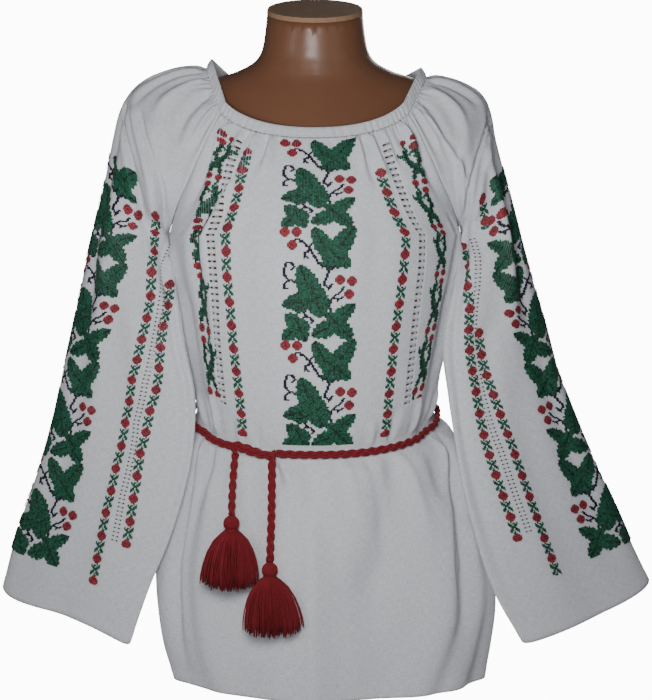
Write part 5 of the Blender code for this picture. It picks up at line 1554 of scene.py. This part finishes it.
BORDERS_SLEEVE = {
    -1: (((6.0, 0.138, 0), (7.75, 0.115, 35), (8.9, 0.150, 67), (10.0, 0.198, 99),
          (10.9, 0.233, 131), (11.85, 0.245, 163), (12.8, 0.245, 195), (13.7, 0.238, 227),
          (15.2, 0.215, 278)),
         ((8.45, 0.038, 0), (9.6, 0.125, 35), (10.55, 0.165, 67), (11.5, 0.198, 99),
          (12.4, 0.208, 131), (13.3, 0.198, 163), (14.3, 0.180, 198))),
    1: (((7.3, 0.060, 0), (8.1, 0.092, 19), (9.15, 0.147, 51), (10.15, 0.158, 83),
         (11.05, 0.168, 115), (11.95, 0.173, 147), (12.8, 0.180, 179), (13.65, 0.185, 211),
         (14.15, 0.185, 230)),
        ((5.9, 0.218, 0), (7.1, 0.196, 27)),
        ((9.7, 0.186, 0), (10.55, 0.198, 27), (11.4, 0.217, 59), (12.25, 0.230, 91),
         (13.15, 0.233, 123), (14.0, 0.233, 155), (15.0, 0.233, 192))),
}


def embroider(node, bands):
    """Sew the bands of one piece of cloth, one mesh for each colour of floss."""
    generator = np.random.default_rng(len(node))
    sewn = {colour: ([], []) for colour in FLOSS_COLOURS}
    for place_at, form_at, route, datum, width, turn, facing, chart in bands:
        rows = route[-1][2]
        points, out = band_corners(place_at, form_at, route, datum, width, rows, turn, facing)
        for colour, parts in cross_stitch(points, out, chart, width, rows, generator).items():
            for held, part in zip(sewn[colour], parts):
                held.extend(part)
    for colour, (legs, shades) in sewn.items():
        if not legs:
            continue
        mesh = threads_mesh("stitches_" + node + "_" + colour, legs, shades, floss[colour])
        piece = link_object(mesh.name, mesh)
        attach(piece, "root")


floss = {colour: floss_material(colour) for colour in FLOSS_COLOURS}
border_width = len(BORDER_CHART[0])
vine_width = VINE_WIDTH + 2 * VINE_MARGIN
front_bands = [(VINE_FRONT, vine_width, vine_chart(VINE_FRONT[-1][2]))]
for routes, width, chart_of in ((BORDERS_FRONT, border_width, border_chart),
                                (SPRAYS_FRONT, SPRAY_WIDTH, spray_chart)):
    for word, route in routes.items():
        chart = chart_of(route[-1][2])
        chart = chart if word == "left" else mirrored_chart(chart, width)
        front_bands.append((route, width, chart))
embroider("front", [(front_place, body_form, route, width / 2, width, 1, 1, chart)
                    for route, width, chart in front_bands])
for side, word in SIDE_WORD.items():
    sleeve_bands = [(VINE_SLEEVE[side], VINE_WIDTH - 1 + VINE_MARGIN, vine_width,
                     vine_chart(VINE_SLEEVE[side][-1][2]))]
    sleeve_bands += [(route, BORDER_MIDDLE, border_width, border_chart(route[-1][2]))
                     for route in BORDERS_SLEEVE[side]]
    embroider("sleeve_" + word, [
        (sleeve_place(side), sleeve_form(side), route, datum, width, -1, -side, chart)
        for route, datum, width, chart in sleeve_bands])


# ------------------------------------------------------------------ white sewing and painted slit shade
# White thread: wrapped bars across the drawn-thread ladders and a satin edge down both sides of
# them, white edges to the small drawn-thread slits of the sleeves, and a stitched line at the hems.
# The slits and the lines between them are dark patches of painted shade.
THREAD_HALF_WIDTH = 0.00038
THREAD_LIFT = (0.00010, 0.00052)
BAR_SHARES = (0.40, 0.51, 0.62)
BAR_OVER = 0.35               # of a hole's height, past both its edges
SATIN_REACH = 0.21            # of the ladder's width, outside its edge
SATIN_OVER = 0.02             # of the ladder's width, inside its edge
SATIN_STEP = 0.00085
BAR_LIFT = 0.0007
SATIN_LIFT = 0.0006
SLIT_PITCH = 0.0046
SLIT_LENGTH = 0.0030
SLIT_HALF_WIDTH = 0.00118
SLIT_BAR_HALF_WIDTH = 0.00020    # the line of painted shade between a pair of slits
SLIT_SPREAD = 0.0052          # between the two rows of slits
SLIT_LIFT = (0.0001, 0.00022)
SLIT_BAR_LIFT = (0.0001, 0.0002)
WHIP_OFFSET = 0.0014          # from a slit's middle to the thread along its edge
HEM_STITCH = 0.0024
HEM_PITCH = 0.0031
SLEEVE_LADDERS = {
    -1: ((7.4, 0.030), (8.95, 0.112), (10.3, 0.178), (10.9, 0.205), (11.8, 0.224),
         (13.3, 0.219), (14.35, 0.204)),
    1: ((7.3, 0.135), (8.75, 0.163), (10.0, 0.172), (11.1, 0.185), (11.85, 0.196),
        (12.4, 0.205), (13.7, 0.210), (14.15, 0.210)),
}


def thread_and_slit_shade_material(name, dark, light):
    """Matt cotton sewing thread; the dark one is the painted shade in the sleeves' slits."""
    material, tree, shader = new_material(name, {"Roughness": 0.75, "Specular IOR Level": 0.2})
    fibre = noise(tree, 2200.0, 3.0)
    feed(tree, shader, {"Base Color": blend(tree, fibre, dark, light),
                        "Normal": bump(tree, fibre, 0.3, 0.0002)})
    return material


def running_stitches(line, out):
    """Short stitches with gaps between them along a line on the cloth."""
    end = lengths_along(line)[-1] - HEM_PITCH / 2
    places = places_on(line, np.arange(HEM_PITCH / 2, end, HEM_PITCH))
    nearest = np.array([np.argmin(np.sum((line - place) ** 2, axis=1)) for place in places])
    along = unit(np.gradient(places, axis=0)) * HEM_STITCH / 2
    return thread_legs(places - along, places + along, out[nearest], THREAD_HALF_WIDTH,
                       *THREAD_LIFT)


def ladder_threads(name):
    """Bars wrapped round the bundled threads, and the satin edges, of one front ladder."""
    holes = ladder_holes(name)
    legs = []

    def laid(start, end, lift):
        out = unit(-inward(body_surface("front", *end)))
        legs.append(thread_legs(panel_point("front", *start), panel_point("front", *end), out,
                                THREAD_HALF_WIDTH, 0.0, lift))

    low, high = np.array(holes).T
    left, right = ladder_edges(name, (low + high) / 2)
    over = BAR_OVER * (high - low)
    for share in BAR_SHARES:
        places = left + (right - left) * share
        laid((low - over, places), (high + over, places), BAR_LIFT)
    first, last = holes[0][0], holes[-1][1]
    length = lengths_along(body_surface("front", np.linspace(first, last, 200), 0.3))[-1]
    rows = np.linspace(first, last, int(length / SATIN_STEP))
    left, right = ladder_edges(name, rows)
    past, over = SATIN_REACH * (right - left), SATIN_OVER * (right - left)
    laid((rows, left - past), (rows, left + over), SATIN_LIFT)
    laid((rows, right - over), (rows, right + past), SATIN_LIFT)
    return legs


def sleeve_slits(side):
    """Two rows of small slits of one sleeve's ladder, drawn as dark patches of painted shade, the
    lines of painted shade between them, and white edges.
    """
    route = np.array(SLEEVE_LADDERS[side])
    along = np.linspace(route[0, 0], route[-1, 0], LINE_SAMPLES)
    across = np.interp(along, route[:, 0], route[:, 1])
    length = lengths_along(sleeve_point(side, along, across)[0])
    at = np.arange(0.0, length[-1] / SLIT_PITCH - 1) * SLIT_PITCH
    rows, middle = np.interp(at, length, along), np.interp(at, length, across)
    here, normal = sleeve_point(side, rows, middle)
    step = unit(sleeve_point(side, rows, middle + 0.01)[0] - here)
    down = unit(np.gradient(here, axis=0))
    half = step * SLIT_LENGTH / 2
    dark, white = [], []
    for number in (0, 1):
        centre = here + step * SLIT_SPREAD * (number - 0.5)
        # the slit itself: a dark patch of painted shade where the hole is
        dark.append(thread_legs(centre - half, centre + half, normal, SLIT_HALF_WIDTH,
                                *SLIT_LIFT))
        # and a thin line of painted shade between the pair
        if number == 0:
            dark.append(thread_legs(centre, centre + step * SLIT_SPREAD, normal,
                                    SLIT_BAR_HALF_WIDTH, *SLIT_BAR_LIFT))
        for offset in (-WHIP_OFFSET, WHIP_OFFSET):
            whipped = centre + down * offset
            white.append(thread_legs(whipped - half, whipped + half, normal,
                                     THREAD_HALF_WIDTH, *THREAD_LIFT))
    return dark, white


def sewing_and_slit_shade(node, legs, material):
    """One piece of plain threads, or of the dark patches of painted shade in the sleeves' slits."""
    count = sum(len(corners) // LEG_CORNERS for corners, _ in legs)
    mesh = threads_mesh("sewing_" + node, legs, [np.ones(count)], material)
    piece = link_object(mesh.name, mesh)
    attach(piece, "root")


white_thread = thread_and_slit_shade_material("white_thread", (0.62, 0.63, 0.66), (0.80, 0.81, 0.83))
slit_shadow = thread_and_slit_shade_material("slit_shadow", (0.055, 0.048, 0.046), (0.11, 0.10, 0.095))
sewing_and_slit_shade("front_ladders", ladder_threads("left") + ladder_threads("right"), white_thread)
for side, word in SIDE_WORD.items():
    dark, white = sleeve_slits(side)
    # the slits' dark patches are painted shade, not thread
    sewing_and_slit_shade("slit_painted_shade_" + word, dark, slit_shadow)
    white.append(running_stitches(*sleeve_point(side, CUFF_HEM_ROW,
                                                np.linspace(0.004, 0.996, 500))))
    sewing_and_slit_shade("sleeve_" + word, white, white_thread)
for piece in ("front", "back"):
    hem = (piece, HEM_DEPTH / ROW_HEIGHT, np.linspace(0.01, 0.99, LINE_SAMPLES))
    hem_legs = running_stitches(panel_point(*hem), unit(-inward(body_surface(*hem))))
    sewing_and_slit_shade(piece + "_hem", [hem_legs], white_thread)


# ------------------------------------------------------------------ belt
# A cord plaited from three soft strands of dark red cotton yarn, tied once round the waist in a
# half knot left of the middle, with both ends hanging down and finished by a tassel.
BELT_RADIUS = 0.0033
BELT_CLEARANCE = 0.0024
CORD_CLEARANCE = 0.0020
KNOT_LENGTH = 0.049
KNOT_HEIGHT = 0.0125
KNOT_DEPTH = 0.0095
KNOT_X = -0.0660
KNOT_GAP = 0.0011
WAIST_ROW = 7.0
TAIL_LEFT = ((-0.0850, 0.4020), (-0.0868, 0.3800), (-0.0882, 0.3560), (-0.0886, 0.3370))
TAIL_RIGHT = ((-0.0455, 0.3970), (-0.0455, 0.3700), (-0.0458, 0.3400), (-0.0466, 0.3150),
              (-0.0474, 0.2900))
PLAIT_PITCH = 0.033           # one strand crosses from side to side and back
PLAIT_WIDTH = 0.00260
PLAIT_DEPTH = 0.00130
STRAND_THICK = 0.00195
STRAND_SIDES = 10
STRAND_STEP = 0.0016
YARN_DARK_AND_HOLLOW_SHADE = (0.095, 0.004, 0.007)
YARN_RED = (0.270, 0.014, 0.022)
PLY_SLANT = 38                # degrees
KNOT_STEPS = 26               # places along a cord inside the knot
KNOT_RISE = 0.0030            # how far the two cords of the knot wind round each other
KNOT_WIND = 0.0021
KNOT_OUTSET = 0.0012
KNOT_TIGHT = 0.96             # the plait is drawn a little thinner in the knot


def yarn_material():
    """Soft dark red yarn: fine plies twisted along the strand and fibres, with painted shade in the
    hollows between the plies.
    """
    material, tree, shader = new_material("red_yarn", {
        "Roughness": 0.72, "Sheen Weight": 0.10, "Sheen Tint": (0.9, 0.25, 0.25, 1.0),
        "Specular IOR Level": 0.3})
    turned = stretched(tree, flat_pattern(tree, "yarn"), (1.0, 1.0, 1.0),
                       math.radians(PLY_SLANT))
    plies = add_node(tree, "TexWave", {"Vector": turned, "Scale": 420.0, "Distortion": 1.2,
                                       "Detail": 2.0}).outputs["Fac"]
    # the colour darkens where the ply wave sinks: painted shade in the hollows, mixed with the
    # fibres' random tone
    mixed = maths(tree, "MULTIPLY_ADD", plies, 0.6, noise(tree, 900.0, 4.0))
    feed(tree, shader, {
        "Base Color": blend(tree, ranged(tree, mixed, 0.35, 1.0), YARN_DARK_AND_HOLLOW_SHADE, YARN_RED),
        "Normal": bump(tree, mixed, 0.6, 0.0005)})
    return material


red_yarn = yarn_material()


def along_path(path, step):
    """A path resampled at even steps, and the length at each."""
    whole = lengths_along(path)[-1]
    at = np.linspace(0, whole, max(int(round(whole / step)), 4) + 1)
    return places_on(path, at), at


def path_frame(path, away):
    """Unit vectors out from the body at a path, and beside that and the path."""
    ahead = unit(np.gradient(path, axis=0))
    out = unit(away - ahead * (away * ahead).sum(-1, keepdims=True))
    return out, np.cross(ahead, out)


def tube_rings(path, radius, sides, away):
    """Rings of points round a path."""
    out, beside = path_frame(path, away)
    radius = np.broadcast_to(radius, len(path))[:, None]
    angles = 2 * math.pi * np.arange(sides) / sides
    return np.stack([path + radius * (out * math.cos(a) + beside * math.sin(a)) for a in angles], 1)


def tubes_mesh(name, tubes, material):
    """One mesh of closed tubes; every tube is (rings, lengths), with a UV map along and round."""
    points, faces, flat = [], [], []
    first = 0
    for rings, lengths in tubes:
        count, sides = rings.shape[:2]
        girth = np.linalg.norm(rings[0, 0] - rings[0, 1]) * sides
        points.append(rings.reshape(-1, 3))
        for row, (near, far) in enumerate(zip(lengths, lengths[1:])):
            start = first + row * sides
            for place in range(sides):
                following = (place + 1) % sides
                faces.append((start + place, start + following, start + sides + following,
                              start + sides + place))
                low, high = girth * place / sides, girth * (place + 1) / sides
                flat.extend([(near, low), (near, high), (far, high), (far, low)])
        for cap, ends in ((0, range(sides - 1, -1, -1)), (count - 1, range(sides))):
            faces.append(tuple(first + cap * sides + place for place in ends))
            flat.extend([(lengths[cap], 0.0)] * sides)
        first += count * sides
    mesh = bpy.data.meshes.new(name)
    mesh.from_pydata(np.concatenate(points), [], faces)
    layer = mesh.uv_layers.new(name="yarn")
    layer.data.foreach_set("uv", np.array(flat, np.float32).ravel())
    turned_outwards(mesh)
    mesh.shade_smooth()
    mesh.materials.append(material)
    return link_object(name, mesh)


def plait_tubes(path, phase=0.0, tight=1.0):
    """Three strands plaited along a path: (rings, lengths) of each."""
    path, at = along_path(path, STRAND_STEP)
    away = path * LEVEL
    out, beside = path_frame(path, away)
    tubes = []
    for strand in range(3):
        turn = 2 * math.pi * (at / PLAIT_PITCH + strand / 3) + phase
        middle = (path + beside * (PLAIT_WIDTH * tight * np.sin(turn))[:, None]
                  + out * (PLAIT_DEPTH * tight * np.sin(2 * turn))[:, None])
        tubes.append((tube_rings(middle, STRAND_THICK * tight, STRAND_SIDES, away), at))
    return tubes


def waist_line(share):
    """Middle line of the belt; share runs once round from the left side over the front."""
    share = np.asarray(share, float) % 1.0
    across = 2 * from_edge(share)
    points = np.where((share < 0.5)[..., None],
                      body_surface("front", WAIST_ROW, across),
                      body_surface("back", WAIST_ROW, across))
    return points + unit(-inward(points) * LEVEL) * (BELT_RADIUS + BELT_CLEARANCE)


def knot_share(x):
    """Share of the waist line, on its front half, at the given x."""
    shares = np.linspace(0.01, 0.49, 400)
    return float(np.interp(x, waist_line(shares)[:, 0], shares))


KNOT_START = knot_share(KNOT_X - KNOT_LENGTH / 2)
KNOT_END = knot_share(KNOT_X + KNOT_LENGTH / 2)


def knot_underside(x):
    """Height of the lowest part of the knot above a cord hanging at x."""
    line = waist_line(np.linspace(KNOT_START, KNOT_END, 9))
    line = line + unit(line * LEVEL) * (KNOT_DEPTH / 2 - BELT_RADIUS)
    swell = (0.72 + 0.28 * np.sin(np.linspace(0, math.pi, 9)) ** 0.5) * KNOT_HEIGHT / 2
    close = np.abs(line[:, 0] - x) < 2.4 * BELT_RADIUS
    return (line[:, 2] - swell)[close].min()


def skirt_depth(x, z):
    """Depth (y) of the skirt's outer face seen at x and z."""
    along = np.linspace(0, WAIST_ROW, 120)
    across = np.linspace(0.02, 0.98, 160)
    grid = body_surface("front", along[:, None], across[None, :])
    return grid[..., 1].flat[np.argmin((grid[..., 0] - x) ** 2 + (grid[..., 2] - z) ** 2)]


def tail_route(route):
    """Points down one hanging end, from under the knot to the tassel."""
    xs, zs = np.array(route).T
    zs[0] = knot_underside(xs[0])
    fine = np.linspace(0, len(route) - 1, 24)
    return np.array([[x, skirt_depth(x, z) - BELT_RADIUS - CORD_CLEARANCE, z]
                     for x, z in zip(smooth(xs, fine), smooth(zs, fine))])


route_left = tail_route(TAIL_LEFT)
route_right = tail_route(TAIL_RIGHT)


def knot_path(first_share, tail_top, lift):
    """Line of one cord through the half knot and down to the top of its hanging end."""
    line = waist_line(np.linspace(first_share, knot_share(tail_top[0]), KNOT_STEPS))
    wind = np.linspace(0, 1, KNOT_STEPS)
    height = lift * np.cos(wind * math.pi) * ease(wind * 5) * KNOT_RISE
    depth = KNOT_OUTSET + KNOT_WIND * lift * np.sin(wind * math.pi) * ease(wind * 5)
    line = line + unit(line * LEVEL) * depth[:, None] + UP * height[:, None]
    sideways = math.copysign(KNOT_OUTSET, line[-1, 0] - line[0, 0])
    bend = tail_top - line[-1]
    arc = []
    for step in np.linspace(0.12, 1.0, 12):
        angle = step * math.pi / 2
        arc.append(line[-1] + np.array([
            bend[0] * math.sin(angle) + sideways * math.sin(math.pi * step),
            bend[1] * step, bend[2] * (1 - math.cos(angle))]))
    return np.concatenate([line, arc])


def belt():
    """The plaited loop round the waist and the half knot that holds it."""
    loop = waist_line(np.linspace(KNOT_END + KNOT_GAP, 1 + KNOT_START - KNOT_GAP, 500))
    piece = tubes_mesh("belt_plait", plait_tubes(loop), red_yarn)
    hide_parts("belt_loop")
    tubes = plait_tubes(knot_path(KNOT_START, route_right[0], 1.0), 0.4, KNOT_TIGHT)
    tubes += plait_tubes(knot_path(KNOT_END, route_left[0], -1.0), 1.9, KNOT_TIGHT)
    knot = tubes_mesh("belt_half_knot", tubes, red_yarn)
    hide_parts("belt_knot")
    for part in (piece, knot):
        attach(part, "root")


belt()


# ------------------------------------------------------------------ belt ends and tassels
# Each end of the plait hangs on the skirt and finishes in a tassel of the same yarn: a ball
# bound round a core, and a bell of cut threads below it.
HEAD_RADIUS = 0.0085
TASSEL_LENGTH = 0.068
TASSEL_SPREAD = (0.0305, 0.0125)
THREAD_COUNT = 380
THREAD_RADIUS = 0.00078
TASSEL_DRIFT = {"left": -0.002, "right": 0.003}
TASSEL_LEVELS = np.array([0.0, 0.07, 0.2, 0.4, 0.62, 0.82, 1.0])       # shares of its length,
TASSEL_WIDTHS = np.array([0.17, 0.34, 0.60, 0.80, 0.92, 0.98, 0.99])   # its spread there,
TASSEL_DEPTHS = np.array([0.30, 0.50, 0.72, 0.86, 0.94, 0.98, 1.00])   # its thickness,
TASSEL_THINNING = np.array([1.5, 1.3, 1.15, 1.0, 1.0, 1.0, 0.8])       # and its threads'
HEAD_STRANDS = 30
HEAD_STRAND_RADIUS = 0.00098
BINDING_TURNS = 3
BINDING_STEP = 0.0011
BINDING_SIZE = (0.0062, 0.0058)
BINDING_RADIUS = 0.00085
HEAD_HANG = HEAD_RADIUS * 0.93        # from the cord's end down to the middle of the head
HEAD_CORE = HEAD_RADIUS * 0.90
BINDING_TOP = HEAD_RADIUS * 0.80      # below the middle of the head, as are the threads' tops
THREADS_TOP = HEAD_RADIUS * 0.78
THREAD_LENGTHS = (0.83, 0.15)         # of the tassel's: the shortest, and what others gain
THREAD_STRAY = (0.0060, 0.4)          # how far ends stray sideways, and what share of it in depth


def lie_at(place, wide, thick):
    """Depth at which threads spread this wide and thick lie on the skirt."""
    nearest = min(skirt_depth(place[0] + share * wide, place[2]) for share in (-0.8, 0.0, 0.8))
    return nearest - thick - THREAD_RADIUS - CORD_CLEARANCE


def tassel(name, top, drift, seed):
    """Bound head, a tight neck and several hundred loose threads."""
    draw = np.random.default_rng(seed)
    centre = top + np.array([0.0, -(HEAD_RADIUS - BELT_RADIUS), -HEAD_HANG])
    tubes = []
    # the ball: strands laid from pole to pole over a core, slightly slanting
    rise = np.linspace(-0.47, 0.47, 15) * math.pi
    for number in range(HEAD_STRANDS):
        angle = 2 * math.pi * number / HEAD_STRANDS + 0.5 * rise / math.pi
        path = centre + HEAD_CORE * np.stack([np.cos(rise) * np.cos(angle),
                                              np.cos(rise) * np.sin(angle), np.sin(rise)], 1)
        tubes.append((tube_rings(path, HEAD_STRAND_RADIUS, 6, path - centre),
                      np.linspace(0, HEAD_CORE * 3, len(path))))
    # binding under the ball
    angle = np.linspace(0, 2 * math.pi, 33)
    wide, thick = BINDING_SIZE
    for turn in range(BINDING_TURNS):
        down = BINDING_TOP + BINDING_STEP * turn
        path = centre + np.stack([wide * np.cos(angle), thick * np.sin(angle),
                                  np.full(len(angle), -down)], 1)
        tubes.append((tube_rings(path, BINDING_RADIUS, 6, path - centre), angle * wide))
    # the loose threads: a bell that lies on the skirt
    lie = [lie_at(centre + np.array([drift * level, 0.0, -TASSEL_LENGTH * level]),
                  wide * TASSEL_SPREAD[0], deep * TASSEL_SPREAD[1])
           for level, wide, deep in zip(TASSEL_LEVELS, TASSEL_WIDTHS, TASSEL_DEPTHS)]
    lie[0] = centre[1]
    golden = math.pi * (3 - math.sqrt(5))
    shortest, gain = THREAD_LENGTHS
    stray_width, stray_share = THREAD_STRAY
    for number in range(THREAD_COUNT):
        out = math.sqrt((number + 0.5) / THREAD_COUNT)
        cross, deep = out * math.cos(number * golden), out * math.sin(number * golden)
        length = (TASSEL_LENGTH * (shortest + gain * draw.random())
                  * (1.02 - 0.10 * abs(cross) ** 3))
        stray = (draw.random(2) - 0.5) * stray_width
        path = np.stack([
            centre[0] + drift * TASSEL_LEVELS + TASSEL_SPREAD[0] * TASSEL_WIDTHS * cross
            + stray[0] * TASSEL_LEVELS,
            lie + TASSEL_SPREAD[1] * TASSEL_DEPTHS * deep
            + stray[1] * TASSEL_LEVELS * stray_share,
            centre[2] - (THREADS_TOP + (length - THREADS_TOP) * TASSEL_LEVELS)], 1)
        away = path - (centre - UP * TASSEL_LENGTH / 2)
        tubes.append((tube_rings(path, THREAD_RADIUS * TASSEL_THINNING, 3, away),
                      TASSEL_LEVELS * length))
    piece = tubes_mesh("belt_" + name, tubes, red_yarn)
    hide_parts(name)
    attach(piece, "root")
    return piece


def belt_end(side, route, seed):
    """One hanging end with its tassel."""
    piece = tubes_mesh("belt_end_" + side, plait_tubes(route, 0.8 * seed), red_yarn)
    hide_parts("belt_tail_" + side)
    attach(piece, "root")
    end = tassel("tassel_" + side, route[-1], TASSEL_DRIFT[side], seed)


belt_end("left", route_left, 1)
belt_end("right", route_right, 2)
